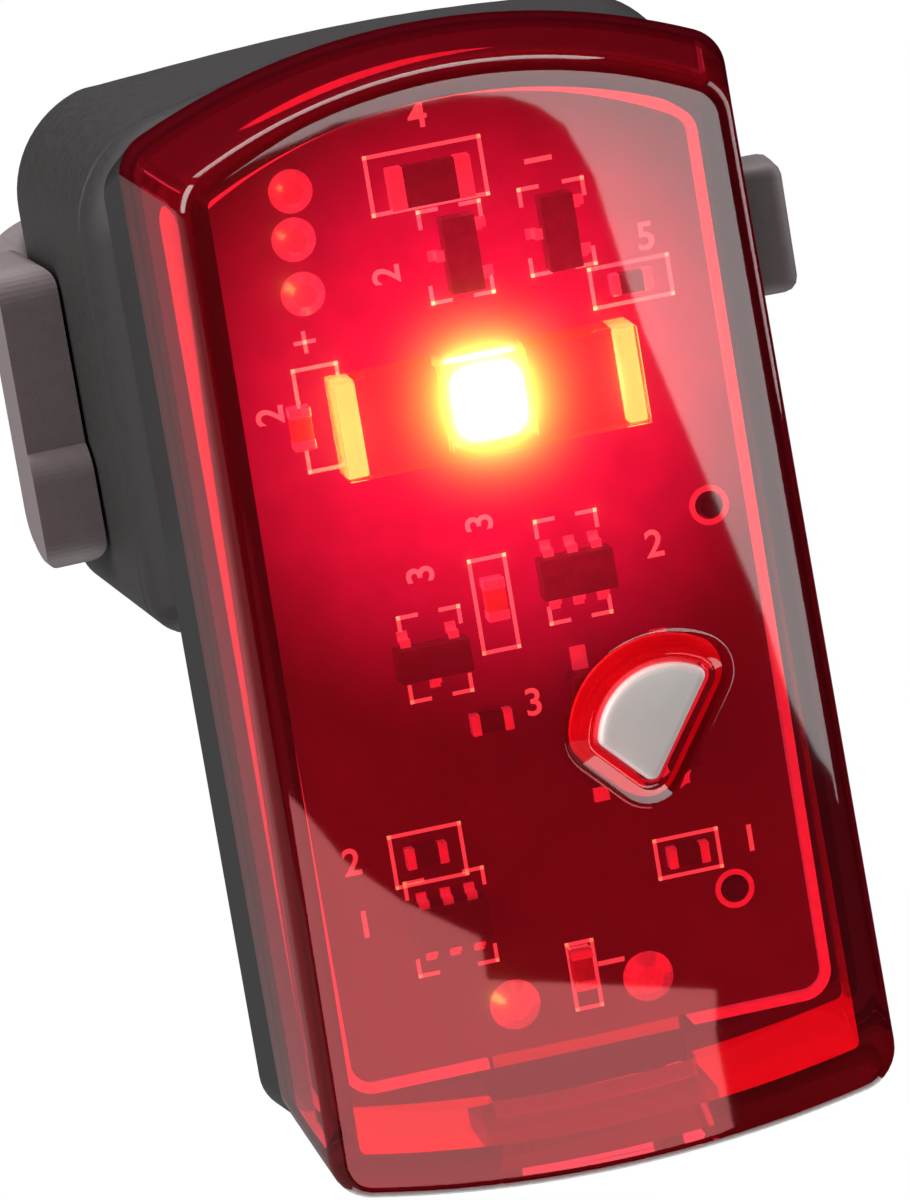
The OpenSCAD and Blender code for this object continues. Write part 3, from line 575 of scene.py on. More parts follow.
    @staticmethod
    def bloom() -> None:
        """Adds the soft halo that the lit LED makes in the camera."""
        scene = bpy.context.scene
        scene.use_nodes = True
        tree = scene.node_tree
        tree.nodes.clear()
        layers = tree.nodes.new("CompositorNodeRLayers")
        glare = tree.nodes.new("CompositorNodeGlare")
        output = tree.nodes.new("CompositorNodeComposite")
        glare.glare_type = "BLOOM"
        settings = {"Threshold": 3.0, "Clamp": True, "Maximum": 12.0, "Strength": 0.9, "Saturation": 0.0,
                    "Tint": (1.0, 0.95, 0.12, 1.0), "Size": 0.12}
        for name, value in settings.items():
            glare.inputs[name].default_value = value
        tree.links.new(layers.outputs["Image"], glare.inputs["Image"])
        tree.links.new(glare.outputs["Image"], output.inputs["Image"])


class Paint:
    """A node tree under construction."""

    def __init__(self, name: str) -> None:
        self.material = bpy.data.materials.new(name)
        self.material.use_nodes = True
        self.tree = self.material.node_tree
        self.shader = self.tree.nodes["Principled BSDF"]
        self.output = self.tree.nodes["Material Output"]

    def node(self, kind: str, **values: object) -> bpy.types.Node:
        """Adds a node.

        Args:
            kind: its type.
            values: attributes of the node to set.

        Returns:
            The node.
        """
        made = self.tree.nodes.new(kind)
        for name, value in values.items():
            setattr(made, name, value)
        return made

    def link(self, source: Socket, target: Socket) -> None:
        """Links two sockets."""
        self.tree.links.new(source, target)

    def noise(self, scale: float, detail: float = 3.0) -> Socket:
        """Adds noise in the piece's own coordinates.

        Args:
            scale: its scale per metre.
            detail: its detail.

        Returns:
            The noise's value.
        """
        place = self.node("ShaderNodeTexCoord")
        made = self.node("ShaderNodeTexNoise")
        made.inputs["Scale"].default_value, made.inputs["Detail"].default_value = scale, detail
        self.link(place.outputs["Object"], made.inputs["Vector"])
        return made.outputs["Fac"]

    def away(self, point: Vector) -> Socket:
        """Measures the distance from a point of the row frame.

        Args:
            point: the point, in metres.

        Returns:
            The distance.
        """
        place = self.node("ShaderNodeTexCoord")
        made = self.node("ShaderNodeVectorMath", operation="DISTANCE")
        self.link(place.outputs["Object"], made.inputs[0])
        made.inputs[1].default_value = point
        return made.outputs["Value"]

    def ramp(self, source: Socket, low: Flat, high: Flat,
             soft: bool = False) -> Socket:
        """Maps a value from one range to another.

        Args:
            source: the value.
            low: its low end and what that becomes.
            high: its high end and what that becomes.
            soft: whether it starts and ends gently.

        Returns:
            The mapped value.
        """
        made = self.node("ShaderNodeMapRange", interpolation_type="SMOOTHSTEP" if soft else "LINEAR")
        for name, value in zip(("From Min", "To Min", "From Max", "To Max"), (*low, *high), strict=True):
            made.inputs[name].default_value = value
        self.link(source, made.inputs["Value"])
        return made.outputs["Result"]

    def mix(self, share: Socket, one: Colour, two: Colour) -> Socket:
        """Mixes two colours.

        Args:
            share: share of the second.
            one: the first colour.
            two: the second colour.

        Returns:
            The mixed colour.
        """
        made = self.node("ShaderNodeMix", data_type="RGBA")
        self.link(share, made.inputs["Factor"])
        made.inputs["A"].default_value, made.inputs["B"].default_value = (*one, 1), (*two, 1)
        return made.outputs["Result"]


@dataclass(frozen=True)
class Finish:
    """An opaque surface whose colour and gloss vary a little; given an LED, it also carries painted LED light
    as emission that fades with distance from it.
    """

    name: str
    colour: Colour
    second: Colour
    roughness: float
    metallic: float = 0.0
    grain: float = 2500.0
    bump: float = 0.0
    specular: float = 0.5
    scatter: float = 0.0
    led: Vector | None = None
    near_painted_light: float = 0.0
    far_painted_light: float = 0.0
    painted_light_start: float = 1.5
    painted_light_reach: float = 13.8
    scatter_depth: float = 0.0008
    scatter_tint: Colour = (1.0, 0.9, 0.8)
    bump_depth: float = 0.00005
    bump_scale: float = 6.0
    tone: Flat = (0.3, 0.7)
    gloss: Flat = (0.2, 0.8)
    gloss_spread: float = 0.1

    def build(self) -> Material:
        """Makes the material.

        Returns:
            The material.
        """
        paint = Paint(self.name)
        noise = paint.noise(self.grain)
        shader = paint.shader.inputs
        share = paint.ramp(noise, (self.tone[0], 0.0), (self.tone[1], 1.0))
        colour = paint.mix(share, self.colour, self.second)
        paint.link(colour, shader["Base Color"])
        smooth, rough = self.roughness * (1 - self.gloss_spread), self.roughness * (1 + self.gloss_spread)
        gloss = paint.ramp(noise, (self.gloss[0], smooth), (self.gloss[1], min(rough, 1.0)))
        paint.link(gloss, shader["Roughness"])
        shader["Metallic"].default_value = self.metallic
        shader["Specular IOR Level"].default_value = self.specular
        # Painted light: emission in the surface's own colour, from the near strength at the LED to the far
        # strength beyond the reach, stands in for the LED's light falling on it.
        if self.led is not None:
            paint.link(colour, shader["Emission Color"])
            near, far = (self.painted_light_start * MM, self.near_painted_light), (self.painted_light_reach * MM, self.far_painted_light)
            paint.link(paint.ramp(paint.away(self.led), near, far, soft=True), shader["Emission Strength"])
        if self.scatter > 0:
            shader["Subsurface Weight"].default_value = self.scatter
            shader["Subsurface Radius"].default_value = self.scatter_tint
            shader["Subsurface Scale"].default_value = self.scatter_depth
        if self.bump > 0:
            bump = paint.node("ShaderNodeBump")
            bump.inputs["Strength"].default_value = self.bump
            bump.inputs["Distance"].default_value = self.bump_depth
            paint.link(paint.noise(self.grain * self.bump_scale, 2.0), bump.inputs["Height"])
            paint.link(bump.outputs["Normal"], shader["Normal"])
        return paint.material


@dataclass(frozen=True)
class Glow:
    """A plain glowing surface."""

    name: str
    colour: Colour
    strength: float

    def build(self) -> Material:
        """Makes the material.

        Returns:
            The material.
        """
        paint = Paint(self.name)
        glow = paint.node("ShaderNodeEmission")
        glow.inputs["Color"].default_value = (*self.colour, 1)
        glow.inputs["Strength"].default_value = self.strength
        paint.link(glow.outputs["Emission"], paint.output.inputs["Surface"])
        return paint.material


@dataclass(frozen=True)
class LitDisc:
    """A lit LED face: hottest in the middle, weaker towards its rim."""

    name: str
    centre: Vector
    inner: float
    outer: float
    hot: Colour
    warm: Colour
    hot_strength: float
    warm_strength: float

    def build(self) -> Material:
        """Makes the material.

        Returns:
            The material.
        """
        paint = Paint(self.name)
        share = paint.ramp(paint.away(self.centre), (self.inner * MM, 0.0), (self.outer * MM, 1.0))
        shader = paint.shader.inputs
        colour = paint.mix(share, self.hot, self.warm)
        paint.link(colour, shader["Base Color"])
        paint.link(colour, shader["Emission Color"])
        strength = paint.ramp(share, (0.0, self.hot_strength), (1.0, self.warm_strength))
        paint.link(strength, shader["Emission Strength"])
        return paint.material


@dataclass(frozen=True)
class Clear:
    """Clear plastic that lets the lamps' light through."""

    name: str
    colour: Colour
    second: Colour
    passed: Colour
    roughness: float
    clarity: float
    ior: float = 1.49
    grain: float = 180.0
    tone: Flat = (0.35, 0.65)

    def build(self) -> Material:
        """Makes the material.

        Returns:
            The material.
        """
        paint = Paint(self.name)
        shader = paint.shader.inputs
        share = paint.ramp(paint.noise(self.grain, 2.0), (self.tone[0], 0.0), (self.tone[1], 1.0))
        paint.link(paint.mix(share, self.colour, self.second), shader["Base Color"])
        shader["Roughness"].default_value = self.roughness
        shader["IOR"].default_value = self.ior
        shader["Transmission Weight"].default_value = self.clarity
        path = paint.node("ShaderNodeLightPath")
        through = paint.node("ShaderNodeBsdfTransparent")
        through.inputs["Color"].default_value = (*self.passed, 1)
        both = paint.node("ShaderNodeMixShader")
        paint.link(path.outputs["Is Shadow Ray"], both.inputs["Fac"])
        paint.link(paint.shader.outputs["BSDF"], both.inputs[1])
        paint.link(through.outputs["BSDF"], both.inputs[2])
        paint.link(both.outputs["Shader"], paint.output.inputs["Surface"])
        return paint.material


class Workshop:
    """Finishes of the part, and the last steps of each piece."""

    def __init__(self, origin: Vector) -> None:
        self.origin = origin
        self.finishes: dict[Slot, Material] = {}
        low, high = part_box("led_package")
        led = (low + high) / 2
        # Finishes given the LED's place carry painted LED light: emission in their own colour, strong near
        # the LED and weaker further off.
        looks = {
            Slot.SHELL: Finish("shell_black", (0.012, 0.011, 0.012), (0.018, 0.016, 0.017), 0.4,
                               specular=0.2),
            Slot.SEAL: Finish("seal_rubber", (0.02, 0.02, 0.02), (0.03, 0.03, 0.03), 0.7),
            Slot.FRAME: Finish("frame_white", (0.6, 0.5, 0.5), (0.52, 0.44, 0.44), 0.3, led=led,
                               near_painted_light=2.0, far_painted_light=0.95),
            Slot.BOARD: Finish("board_laminate", (0.065, 0.011, 0.045), (0.08, 0.014, 0.055), 0.4,
                               grain=700.0, led=led, near_painted_light=20.0, far_painted_light=0.3),
            Slot.LED_WHITE: Finish("led_white", (0.9, 0.86, 0.78), (0.86, 0.82, 0.74), 0.4, led=led,
                                   near_painted_light=3.0),
            Slot.CHIP: Finish("chip_black", (0.03, 0.016, 0.025), (0.04, 0.024, 0.03), 0.5, bump=0.2, led=led,
                              near_painted_light=14.0, far_painted_light=0.25),
            Slot.CAPACITOR: Finish("capacitor_body", (0.3, 0.2, 0.12), (0.36, 0.24, 0.15), 0.45, led=led,
                                   near_painted_light=5.0, far_painted_light=0.4),
            Slot.TIN: Finish("tinned_metal", (0.8, 0.77, 0.72), (0.7, 0.67, 0.62), 0.28, metallic=0.9,
                             led=led, near_painted_light=2.6, far_painted_light=0.5),
            Slot.KEY: Finish("key_white", (0.76, 0.73, 0.71), (0.66, 0.62, 0.6), 0.3, grain=260.0,
                             scatter=0.4),
            Slot.CELL: Finish("cell_foil", (0.6, 0.61, 0.63), (0.52, 0.53, 0.55), 0.4, metallic=0.7,
                              bump=0.4),
            Slot.FOAM: Finish("foam_grey", (0.12, 0.12, 0.13), (0.16, 0.16, 0.17), 0.9, bump=0.6),
            Slot.SOCKET: Finish("socket_steel", (0.62, 0.62, 0.64), (0.55, 0.55, 0.57), 0.25, metallic=0.95),
            Slot.BRACKET: Finish("bracket_soft", (0.016, 0.0135, 0.014), (0.02, 0.017, 0.018), 0.6, bump=0.15,
                                 specular=0.4),
            Slot.RUBBER: Finish("strap_rubber", (0.138, 0.108, 0.113), (0.156, 0.122, 0.128), 0.6, bump=0.2),
            Slot.LENS: Clear("lens_red", (0.9, 0.026, 0.066), (0.88, 0.023, 0.06), passed=(0.9, 0.16, 0.2),
                             roughness=0.02, clarity=0.97),
            Slot.OPTIC: Clear("clear_optic", (1.0, 0.95, 0.92), (0.98, 0.93, 0.9), passed=(0.98, 0.96, 0.94),
                              roughness=0.04, clarity=0.9),
            Slot.LED_GLOW: LitDisc("led_glow", led, inner=1.2, outer=5.4, hot=(0.9, 1.0, 0.5),
                                   warm=(0.1, 1.0, 0.1), hot_strength=55.0, warm_strength=36.0),
        }
        for slot, look in looks.items():
            self.finishes[slot] = look.build()
        # The print carries painted LED light as well, with some of it kept all over the board.
        self.print = Finish("print_white", (0.5, 1.0, 0.56), (0.45, 0.9, 0.5), 0.6, led=led, near_painted_light=7.5,
                            far_painted_light=1.8).build()

    def place(self, piece: bpy.types.Object, body: Body, slot: Slot, *nodes: str, in_lamp: bool = True,
              finish: Material | None = None) -> None:
        """Puts a finished piece in place, in metres, hangs it on its body's empty and hides the CAD nodes
        that it stands for.

        Args:
            piece: the piece, in millimetres.
            body: the CAD body that it rides on.
            slot: the record's slot that it takes its finish from.
            nodes: CAD nodes that it stands for.
            in_lamp: whether it is drawn in the lamp's frame.
            finish: its finish, the slot's own where left out.
        """
        sharp_angle = 32.0
        offset = self.origin if in_lamp else Vector((0, 0, 0))
        piece.data.transform(Matrix.Translation(offset) @ Matrix.Scale(MM, 4))
        piece.data.update()
        piece.data.shade_smooth()
        piece.data.set_sharp_from_angle(angle=math.radians(sharp_angle))
        piece.data.materials.clear()
        piece.data.materials.append(finish or self.finishes[slot])
        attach(piece, body.value)
        if nodes:
            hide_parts(*nodes)
        LOG.info("placed %s on %s", piece.name, body.value)


@dataclass
class Lens:
    """The clear red shell with the collar round the key."""

    shop: Workshop
    height: float = 39.4
    top_w: float = 21.2
    bottom_w: float = 22.5
    rise: float = 2.8
    sag: float = 1.3
    depth: float = 6.2
    flare_top: float = 1.3
    flare_bottom: float = 0.7
    top_lift: float = 1.0
    foot_lift: float = 1.6
    corner_r: float = 1.7
    edge_r: float = 0.5
    front_t: float = 1.2
    wall_t: float = 1.4
    key_gap: float = 0.12
    collar_w: float = 1.0
    collar_h: float = 0.45
    collar_toe: float = 0.05
    collar_mouth: float = 0.14
    collar_crest: tuple[Flat, ...] = ((0.5, 0.06), (0.42, 0.0), (0.26, 0.0), (0.17, 0.04))
    mouth_low: tuple[float, float, float] = (-4.1, 4.45, -22)
    mouth_high: tuple[float, float, float] = (4.1, 7.6, -16.5)
    flat_w: float = 0.15
    edge_steps: int = 6
    outer_rows: tuple[float, ...] = (4.6, 3.0, 1.6)
    inner_rows: Flat = (2.6, 4.4)
    key: KeyOutline = field(default_factory=KeyOutline)

    def outline(self, y: float) -> Arched:
        """The lens's outline at a distance behind its front face."""
        share = y / self.depth
        return Arched(self.top_w + 2 * self.flare_top * share, self.bottom_w + 2 * self.flare_bottom * share,
                      self.height / 2 + self.top_lift * share, -self.height / 2 + self.foot_lift * share,
                      self.rise, self.sag, self.corner_r)

    def build(self) -> None:
        """Builds the lens."""
        made = Surface()
        rings = [made.ring(self.outline(y).points(), y) for y in (self.depth, *self.outer_rows)]
        for k in range(self.edge_steps + 1):
            turn = math.pi / 2 * k / self.edge_steps
            y = self.edge_r * (1 - math.sin(turn))
            rings.append(made.ring(self.outline(y).points(self.edge_r * (1 - math.cos(turn))), y))
        rings.append(made.ring(self.outline(0).points(self.edge_r + self.flat_w), 0))
        made.loft(rings)
        foot, top = self.collar_w + self.key_gap, -self.collar_h
        grows = [(foot + self.flat_w, 0.0), (foot, 0.0), (self.collar_w, -self.collar_toe)]
        grows += [(grow, top + drop) for grow, drop in self.collar_crest]
        grows += [(self.key_gap, top + self.collar_mouth), (self.key_gap, self.front_t),
                  (self.key_gap + self.flat_w, self.front_t)]
        collar = [made.ring(self.key.points(grow), y) for grow, y in grows]
        made.loft(collar)
        made.fill(rings[-1], collar[0])
        inner = [made.ring(self.outline(self.front_t).points(self.wall_t + self.flat_w), self.front_t)]
        rows = (self.front_t, *self.inner_rows, self.depth)
        inner += [made.ring(self.outline(y).points(self.wall_t), y) for y in rows]
        made.loft(inner)
        made.fill(inner[0], collar[-1])
        made.loft([inner[-1], rings[0]])
        piece = made.piece("lens_shell")
        mouth = Surface()
        mouth.box(self.mouth_low, self.mouth_high)
        carve(piece, [mouth.piece("mouth_cut")])
        self.shop.place(piece, Body.LAMP, Slot.LENS, "lens")


@dataclass
class Bracket:
    """The soft black block with its saddle, slot, strap groove and hook."""

    shop: Workshop
    front_y: float = -23.266
    rear_y: float = -7.366
    front_w: float = 25.4
    rear_w: float = 28.0
    foot_z: float = -11.0
    flank_h: float = 19.2
    rise: float = 2.2
    sag: float = 0.4
    corner_r: float = 4.5
    foot_r: float = 1.6
    front_r: float = 2.2
    rear_r: float = 1.8
    round_steps: int = 9
    saddle_r: float = 13.9
    slot_z: float = -8.75
    slot_lip: float = 0.9
    slot_depth: float = 2.4
    slot_half: float = 2.65
    head_half: float = 4.35
    slot_top: float = 14.0
    slot_over: float = 1.0
    saddle_half: float = 13.0
    strap_z: float = -0.8
    flank_angle: float = 4.674
    parting_gap: float = 0.5
    parting: tuple[Flat, ...] = ((0.0, 0.0), (0.08, 0.1), (0.26, 0.1), (0.34, 0.0))
    anchor: Flat = (-2.4, -6.0)
    anchor_r: float = 1.3
    anchor_half: float = 2.65
    neck_half: float = 0.7
    neck_out: float = 0.5
    hook_low: Flat = (-0.3, -5.8)
    hook_high: Flat = (0.9, -4.2)
    hook_half: float = 1.2
    hook_edge: float = 0.12

    def outline(self, y: float) -> Arched:
        """The block's outline at a place along y."""
        wide = self.front_w + (self.rear_w - self.front_w) * (y - self.front_y) / (self.rear_y - self.front_y)
        return Arched(wide, wide, self.foot_z + self.flank_h, self.foot_z, self.rise, self.sag, self.corner_r,
                      self.foot_r, arc_steps=36, side_steps=12, corner_steps=14)

    def path(self) -> list[Flat]:
        """Follows the block's side from its front to its rear.

        Returns:
            Places along y, each with how far the outline is drawn in there.
        """
        turns = [math.pi / 2 * k / self.round_steps for k in range(self.round_steps + 1)]
        bends = [(1 - math.cos(turn), 1 - math.sin(turn)) for turn in turns]
        front = [(self.front_y + self.front_r * along, self.front_r * inset) for along, inset in bends]
        near = self.front_y + self.front_r + self.parting_gap
        groove = [(near + along, inset) for along, inset in self.parting]
        rear = [(self.rear_y - self.rear_r * along, self.rear_r * inset) for along, inset in bends]
        return front + groove + rear[::-1]

    def on_flank(self, side: int) -> Matrix:
        """Place of a flank: x out of it, y to the rear from the block's rear end.

        Args:
            side: 1 for the right flank, -1 for the left.

        Returns:
            The place, in the row frame's millimetres.
        """
        place = Matrix.Translation((self.rear_w / 2, self.rear_y, 0))
        turn = Matrix.Rotation(-math.radians(self.flank_angle), 4, "Z")
        return Matrix.Scale(side, 4, (1, 0, 0)) @ place @ turn

    def build(self) -> None:
        """Builds the block."""
        made = Surface()
        rings = [made.ring(self.outline(y).points(inset), y) for y, inset in self.path()]
        made.solid(rings)
        piece = made.piece("bracket_block")
        saddle, slot, head, groove, neck = cutters = [Surface() for _ in range(5)]
        saddle.rod((0, 0, -self.saddle_half), (0, 0, self.saddle_half), self.saddle_r)
        lip, rear = self.front_y + self.slot_lip, self.front_y + self.slot_depth
        over = self.front_y - self.slot_over
        slot.box((-self.slot_half, over, self.slot_z), (self.slot_half, rear, self.slot_top))
        head.box((-self.head_half, lip, self.slot_z), (self.head_half, rear, self.slot_top))
        low, high = self.strap_z - self.anchor_half, self.strap_z + self.anchor_half
        x, y = self.anchor
        groove.rod((x, y, low), (x, y, high), self.anchor_r)
        groove.bm.transform(self.on_flank(1))
        neck.box((x, y - self.neck_half, low), (self.neck_out, y + self.neck_half, high))
        neck.bm.transform(self.on_flank(1))
        carve(piece, [cutter.piece(f"block_cut_{k}") for k, cutter in enumerate(cutters)])
        self.shop.place(piece, Body.BRACKET, Slot.BRACKET, "mount_block", in_lamp=False)
        hook = Surface()
        low, high = self.strap_z - self.hook_half, self.strap_z + self.hook_half
        hook.box((*self.hook_low, low), (*self.hook_high, high), self.hook_edge)
        hook.bm.transform(self.on_flank(-1))
        self.shop.place(hook.piece("strap_hook"), Body.BRACKET, Slot.BRACKET, in_lamp=False)


@dataclass
class Strap:
    """The rubber strap round the post, and the saddle pad."""

    shop: Workshop
    bracket: Bracket
    thick: float = 1.5
    height: float = 5.1
    edge: float = 0.35
    loop_r: float = 13.6
    bend: Flat = (14.897, -7.4392)
    run_angle: float = 8.7
    ear_len: float = 6.65
    free_gap: float = 0.95
    loop_steps: int = 72
    bend_steps: int = 6
    edge_steps: int = 4
    play: float = 0.1
    lug_low: Flat = (0.15, -8.4)
    lug_high: Flat = (2.75, -4.9)
    lug_over: float = 0.15
    lug_edge: float = 0.6
    neck_end: float = 0.3

    def ring(self, made: Surface, x: float, y: float, angle: float) -> Ring:
        """Adds a cross-section of the strap.

        Args:
            made: the strap's surface.
            x: middle of the section across.
            y: middle of the section along y.
            angle: direction out of the strap's outer side, in degrees.

        Returns:
            The section's vertices.
        """
        out = Vector((math.cos(math.radians(angle)), math.sin(math.radians(angle)), 0))
        half, tall = self.thick / 2 - self.edge, self.height / 2 - self.edge
        verts = []
        for k, (side, up) in enumerate(((1, 1), (-1, 1), (-1, -1), (1, -1))):
            for step in range(self.edge_steps + 1):
                turn = math.pi / 2 * (k + step / self.edge_steps)
                away = side * half + self.edge * math.cos(turn)
                lift = up * tall + self.edge * math.sin(turn)
                verts.append(made.bm.verts.new(Vector((x, y, self.bracket.strap_z + lift)) + out * away))
        return verts

    def band(self) -> Surface:
        """Sweeps the strap from its anchored end round the post to the tab's bend.

        Returns:
            Its surface.
        """
        made = Surface()
        flank = -self.bracket.flank_angle
        along = Vector((-math.sin(math.radians(flank)), math.cos(math.radians(flank))))
        ear = Vector(self.bend) - along * self.ear_len
        rings = [self.ring(made, ear.x, ear.y, flank)]
        for k in range(self.bend_steps + 1):
            rings.append(self.ring(made, *self.bend, flank + (self.run_angle - flank) * k / self.bend_steps))
        for k in range(self.loop_steps + 1):
            angle = self.run_angle + (180 - 2 * self.run_angle) * k / self.loop_steps
            turn = math.radians(angle)
            rings.append(self.ring(made, self.loop_r * math.cos(turn), self.loop_r * math.sin(turn), angle))
        run = math.radians(self.run_angle)
        free = Vector(self.bend) + Vector((-math.sin(run), math.cos(run))) * self.free_gap
        rings.append(self.ring(made, -free.x, free.y, 180 - self.run_angle))
        made.solid(rings)
        return made

    def build(self) -> None:
        """Builds the strap's pieces."""
        loop = self.band().piece("strap_loop")
        self.shop.place(loop, Body.BRACKET, Slot.RUBBER, "strap_band", in_lamp=False)
        lug = Surface()
        low, high = self.bracket.strap_z - self.height / 2, self.bracket.strap_z + self.height / 2
        lug.box((*self.lug_low, low - self.lug_over), (*self.lug_high, high + self.lug_over), self.lug_edge)
        x, y = self.bracket.anchor
        half = self.bracket.neck_half - self.play
        lug.box((x, y - half, low), (self.neck_end, y + half, high))
        lug.rod((x, y, low), (x, y, high), self.bracket.anchor_r - self.play)
        lug.bm.transform(self.bracket.on_flank(1))
        self.shop.place(lug.piece("strap_lug"), Body.BRACKET, Slot.RUBBER, in_lamp=False)
        pad = cad_copy("saddle_pad", self.edge)
        self.shop.place(pad, Body.BRACKET, Slot.RUBBER, "saddle_pad", in_lamp=False)


@dataclass
class Key:
    """The white key in the collar."""

    shop: Workshop
    outline: KeyOutline = field(default_factory=KeyOutline)
    out: float = 0.75
    back: float = 1.71
    waist: float = 0.2
    crest: tuple[Flat, ...] = ((0.26, 0.0), (0.13, -0.03), (0.05, -0.1), (0.01, -0.19), (0.0, -0.28))
    flange_y: float = 1.26
    flange_w: float = 0.6
    stem: Flat = (3.6, -4.08)
    stem_y: Flat = (1.5, 1.97)
    stem_r: float = 0.8

    def build(self) -> None:
        """Builds the key."""
        made = Surface()
        path = [(self.back, 0.0), (self.waist, 0.0), *((drop - self.out, grow) for drop, grow in self.crest)]
        made.solid([made.ring(self.outline.points(grow), y) for y, grow in path])
        made.solid([made.ring(self.outline.points(self.flange_w), y) for y in (self.flange_y, self.back)])
        (x, z), (near, far) = self.stem, self.stem_y
        made.rod((x, near, z), (x, far, z), self.stem_r)
        self.shop.place(made.piece("white_key"), Body.BUTTON, Slot.KEY, "power_button")


@dataclass(frozen=True)
class Numeral:
    """A numeral printed on the board."""

    text: str
    x: float
    z: float
    turned: bool = False


@dataclass
class Board:
    """Printing, tinned chip ends and lit faces on the circuit board.

    Places are read on a plan of the board and drawn out to its size.
    """

    shop: Workshop
    width: float = 18.7935
    height: float = 34.5523
    foot: float = -16.2994
    plan_w: float = 19.0
    plan_h: float = 34.2
    plan_foot: float = -16.2
    line: float = 0.15
    ink: float = 0.03
    sunk: float = 0.01
    numeral_size: float = 1.5
    stroke: float = 0.02
    mark: Flat = (0.7, 0.6)
    plus: Flat = (-6.45, 12.5)
    plus_half: float = 0.35
    skin: float = 0.025
    end_edge: float = 0.06
    pegs: tuple[Flat, ...] = ((7.997, 3.395), (6.597, -11.738))
    peg_ring: Flat = (0.56, 0.78)
    ring_steps: int = 32
    lit_half: Flat = (1.4, 1.3)
    lit_w: float = 0.75
    lit_in: float = 0.12
    lit_front: float = 0.5
    lit_edge: float = 0.1
    lit_bow: float = 0.1
    lit_corner: float = 0.8
    lit_gap: float = 0.005
    chip_edge: float = 0.06
    numerals: tuple[Numeral, ...] = (
        Numeral("4", -0.7, 20.1), Numeral("1", 3.7, 17.6, True), Numeral("2", -2.85, 14.4, True),
        Numeral("5", 7.3, 13.9), Numeral("2", -8.2, 10.0, True), Numeral("3", -0.9, 4.4, True),
        Numeral("2", 5.7, 2.2), Numeral("3", -3.5, 2.9, True), Numeral("3", 0.0, -2.9),
        Numeral("2", -8.1, -7.6), Numeral("1", 7.6, -9.9), Numeral("1", -8.0, -10.1),
        Numeral("1", 1.4, -13.5, True),
    )
    frames: tuple[tuple[float, float, float, float], ...] = (
        (-3.0, 16.7, 1.5, 18.9), (-7.1, 7.6, -5.4, 11.5), (4.9, 11.6, 8.0, 13.1), (-1.6, -0.6, -0.2, 3.0),
        (-6.5, -8.9, -3.7, -6.9), (3.8, -10.7, 6.3, -9.2), (-0.3, -15.1, 0.7, -12.5),
    )
    corners: tuple[tuple[float, float, float, float], ...] = (
        (2.7, 13.3, 5.2, 16.6), (-1.3, 13.0, 1.1, 16.5), (-4.7, -1.9, -2.3, 1.4), (1.2, 0.0, 3.6, 4.0),
        (-6.2, -12.5, -3.1, -8.8),
    )

    def spot(self, x: float, z: float) -> Flat:
        """Draws a place of the plan out to the board's size."""
        return x * self.width / self.plan_w, self.foot + (z - self.plan_foot) * self.height / self.plan_h

    def bar(self, made: Surface, x0: float, z0: float, x1: float, z1: float) -> None:
        """Prints a bar along one side of a frame."""
        half = self.line / 2
        made.box((min(x0, x1) - half, BOARD_Y - self.ink, min(z0, z1) - half),
                 (max(x0, x1) + half, BOARD_Y + self.sunk, max(z0, z1) + half))

    def numeral(self, made: Surface, label: Numeral) -> None:
        """Prints one numeral.

        Args:
            made: the printing.
            label: the numeral.
        """
        curve = bpy.data.curves.new("numeral", "FONT")
        curve.body, curve.size, curve.extrude = label.text, self.numeral_size, self.ink / 2
        curve.align_x, curve.align_y = "CENTER", "CENTER"
        curve.offset = self.stroke
        holder = show("numeral", curve)
        bpy.context.view_layer.update()
        mesh = bpy.data.meshes.new_from_object(holder.evaluated_get(bpy.context.evaluated_depsgraph_get()))
        x, z = self.spot(label.x, label.z)
        turn = Matrix.Rotation(-math.pi / 2 if label.turned else 0.0, 4, "Y")
        upright = Matrix.Rotation(math.pi / 2, 4, "X")
        mesh.transform(Matrix.Translation((x, BOARD_Y - self.ink / 2, z)) @ turn @ upright)
        made.bm.from_mesh(mesh)
        bpy.data.objects.remove(holder)
        bpy.data.meshes.remove(mesh)

    def printing(self) -> None:
        """Prints the frames, corner marks and numerals."""
        made = Surface()
        for x0, z0, x1, z1 in self.frames:
            (x0, z0), (x1, z1) = self.spot(x0, z0), self.spot(x1, z1)
            for side in ((x0, z0, x1, z0), (x0, z1, x1, z1), (x0, z0, x0, z1), (x1, z0, x1, z1)):
                self.bar(made, *side)
        for x0, z0, x1, z1 in self.corners:
            (x0, z0), (x1, z1) = self.spot(x0, z0), self.spot(x1, z1)
            across, up = self.mark
            for x, z, dx, dz in ((x0, z0, across, up), (x0, z1, across, -up), (x1, z0, -across, up),
                                 (x1, z1, -across, -up)):
                self.bar(made, x, z, x + dx, z)
                self.bar(made, x, z, x, z + dz)
        x, z = self.spot(*self.plus)
        half = self.plus_half
        self.bar(made, x - half, z, x + half, z)
        self.bar(made, x, z - half, x, z + half)
        for label in self.numerals:
            self.numeral(made, label)
        self.shop.place(made.piece("board_print"), Body.LAMP, Slot.FRAME, finish=self.shop.print)

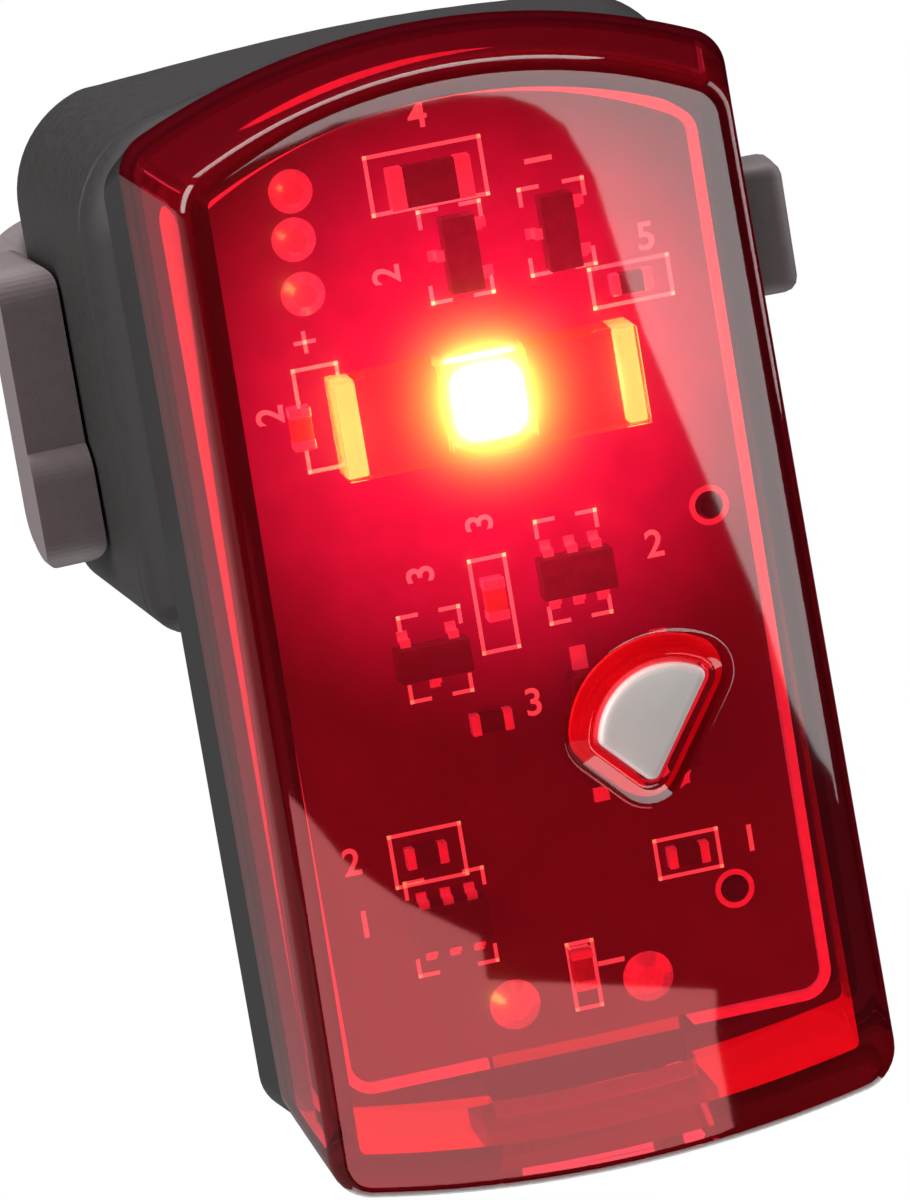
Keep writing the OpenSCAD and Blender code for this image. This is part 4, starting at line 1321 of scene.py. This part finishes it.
    def chip_ends(self) -> None:
        """Adds the tinned ends of the chips and the rings round the pegs."""
        made = Surface()
        chips = [(-0.7, 17.6, 3.2, 1.6, 0.6, 0.6, False)]
        flat = ((6.4, 12.4), (-1.8, -3.2), (-5.2, -7.8), (5.0, -9.9))
        tall = ((-7.2, 9.4), (-0.9, 1.5), (0.1, -13.4))
        chips += [(x, z, 1.6, 0.8, 0.5, 0.35, False) for x, z in flat]
        chips += [(x, z, 1.6, 0.8, 0.8, 0.38, True) for x, z in tall]
        for x, z, length, wide, thick, end, turned in chips:
            x, z = self.spot(x, z)
            half, front = wide / 2 + self.skin, BOARD_Y - thick - self.skin
            for side in (-1, 1):
                near, far = sorted((side * (length / 2 + self.skin), side * (length / 2 - end)))
                low, high = ((-half, near), (half, far)) if turned else ((near, -half), (far, half))
                made.box((x + low[0], front, z + low[1]), (x + high[0], BOARD_Y, z + high[1]), self.end_edge)
        (hole, rim), front = self.peg_ring, BOARD_Y - self.ink
        for x, z in self.pegs:
            rings = [made.ring(arc_points(Vector((x, z)), r, 0, math.tau, self.ring_steps)[:-1], y)
                     for r, y in ((rim, front), (rim, BOARD_Y), (hole, BOARD_Y), (hole, front))]
            made.loft([*rings, rings[0]])
        self.shop.place(made.piece("chip_ends"), Body.LAMP, Slot.TIN)

    def lit_faces(self) -> None:
        """Adds the lit LED face, and glowing boxes in the optic's ends as painted light for the LED's light
        that comes out there.
        """
        low, high = lamp_box("led_package")
        middle, (half_w, half_h) = (low.z + high.z) / 2, self.lit_half
        made = Surface()
        face = Arched(2 * half_w, 2 * half_w, middle + half_h, middle - half_h, self.lit_bow, self.lit_bow,
                      self.lit_corner, arc_steps=6, side_steps=2)
        made.solid([made.ring(face.points(), low.y - lift) for lift in (self.ink, self.lit_gap)])
        low, high = lamp_box("led_optic")
        edge = self.lit_in
        for left in (low.x + edge, high.x - edge - self.lit_w):
            made.box((left, low.y + self.lit_front, low.z + edge),
                     (left + self.lit_w, high.y - edge, high.z - edge), self.lit_edge)
        self.shop.place(made.piece("lit_faces"), Body.LAMP, Slot.LED_GLOW)

    def build(self) -> None:
        """Builds what lies on the board."""
        black = ("sense_resistor", "chip_resistors", "transistors", "driver_chips", "switch_body")
        chips = [(node, Slot.CHIP) for node in black]
        for node, slot in (*chips, ("chip_capacitors", Slot.CAPACITOR), ("led_optic", Slot.OPTIC)):
            self.shop.place(cad_copy(node, self.chip_edge, 2), Body.LAMP, slot, node, in_lamp=False)
        self.printing()
        self.chip_ends()
        self.lit_faces()


def plain_nodes(shop: Workshop) -> None:
    """Gives the CAD nodes that stay in view their finishes.

    Args:
        shop: finishes and last steps.
    """
    slots = {row["node"]: row["material_slot"] for row in frame["record"]["subparts"]}
    for name, node in frame["nodes"].items():
        for entry in node.material_slots:
            entry.material = shop.finishes[Slot(slots[name])]


def main() -> None:
    """Builds the looks in order."""
    logging.basicConfig(level=logging.INFO)
    origin = lamp_origin()
    shop = Workshop(origin)
    plain_nodes(shop)
    Lens(shop).build()
    Board(shop).build()
    bracket = Bracket(shop)
    bracket.build()
    Strap(shop, bracket).build()
    Key(shop).build()
    Studio().build(origin)


if __name__ == "__main__":
    main()
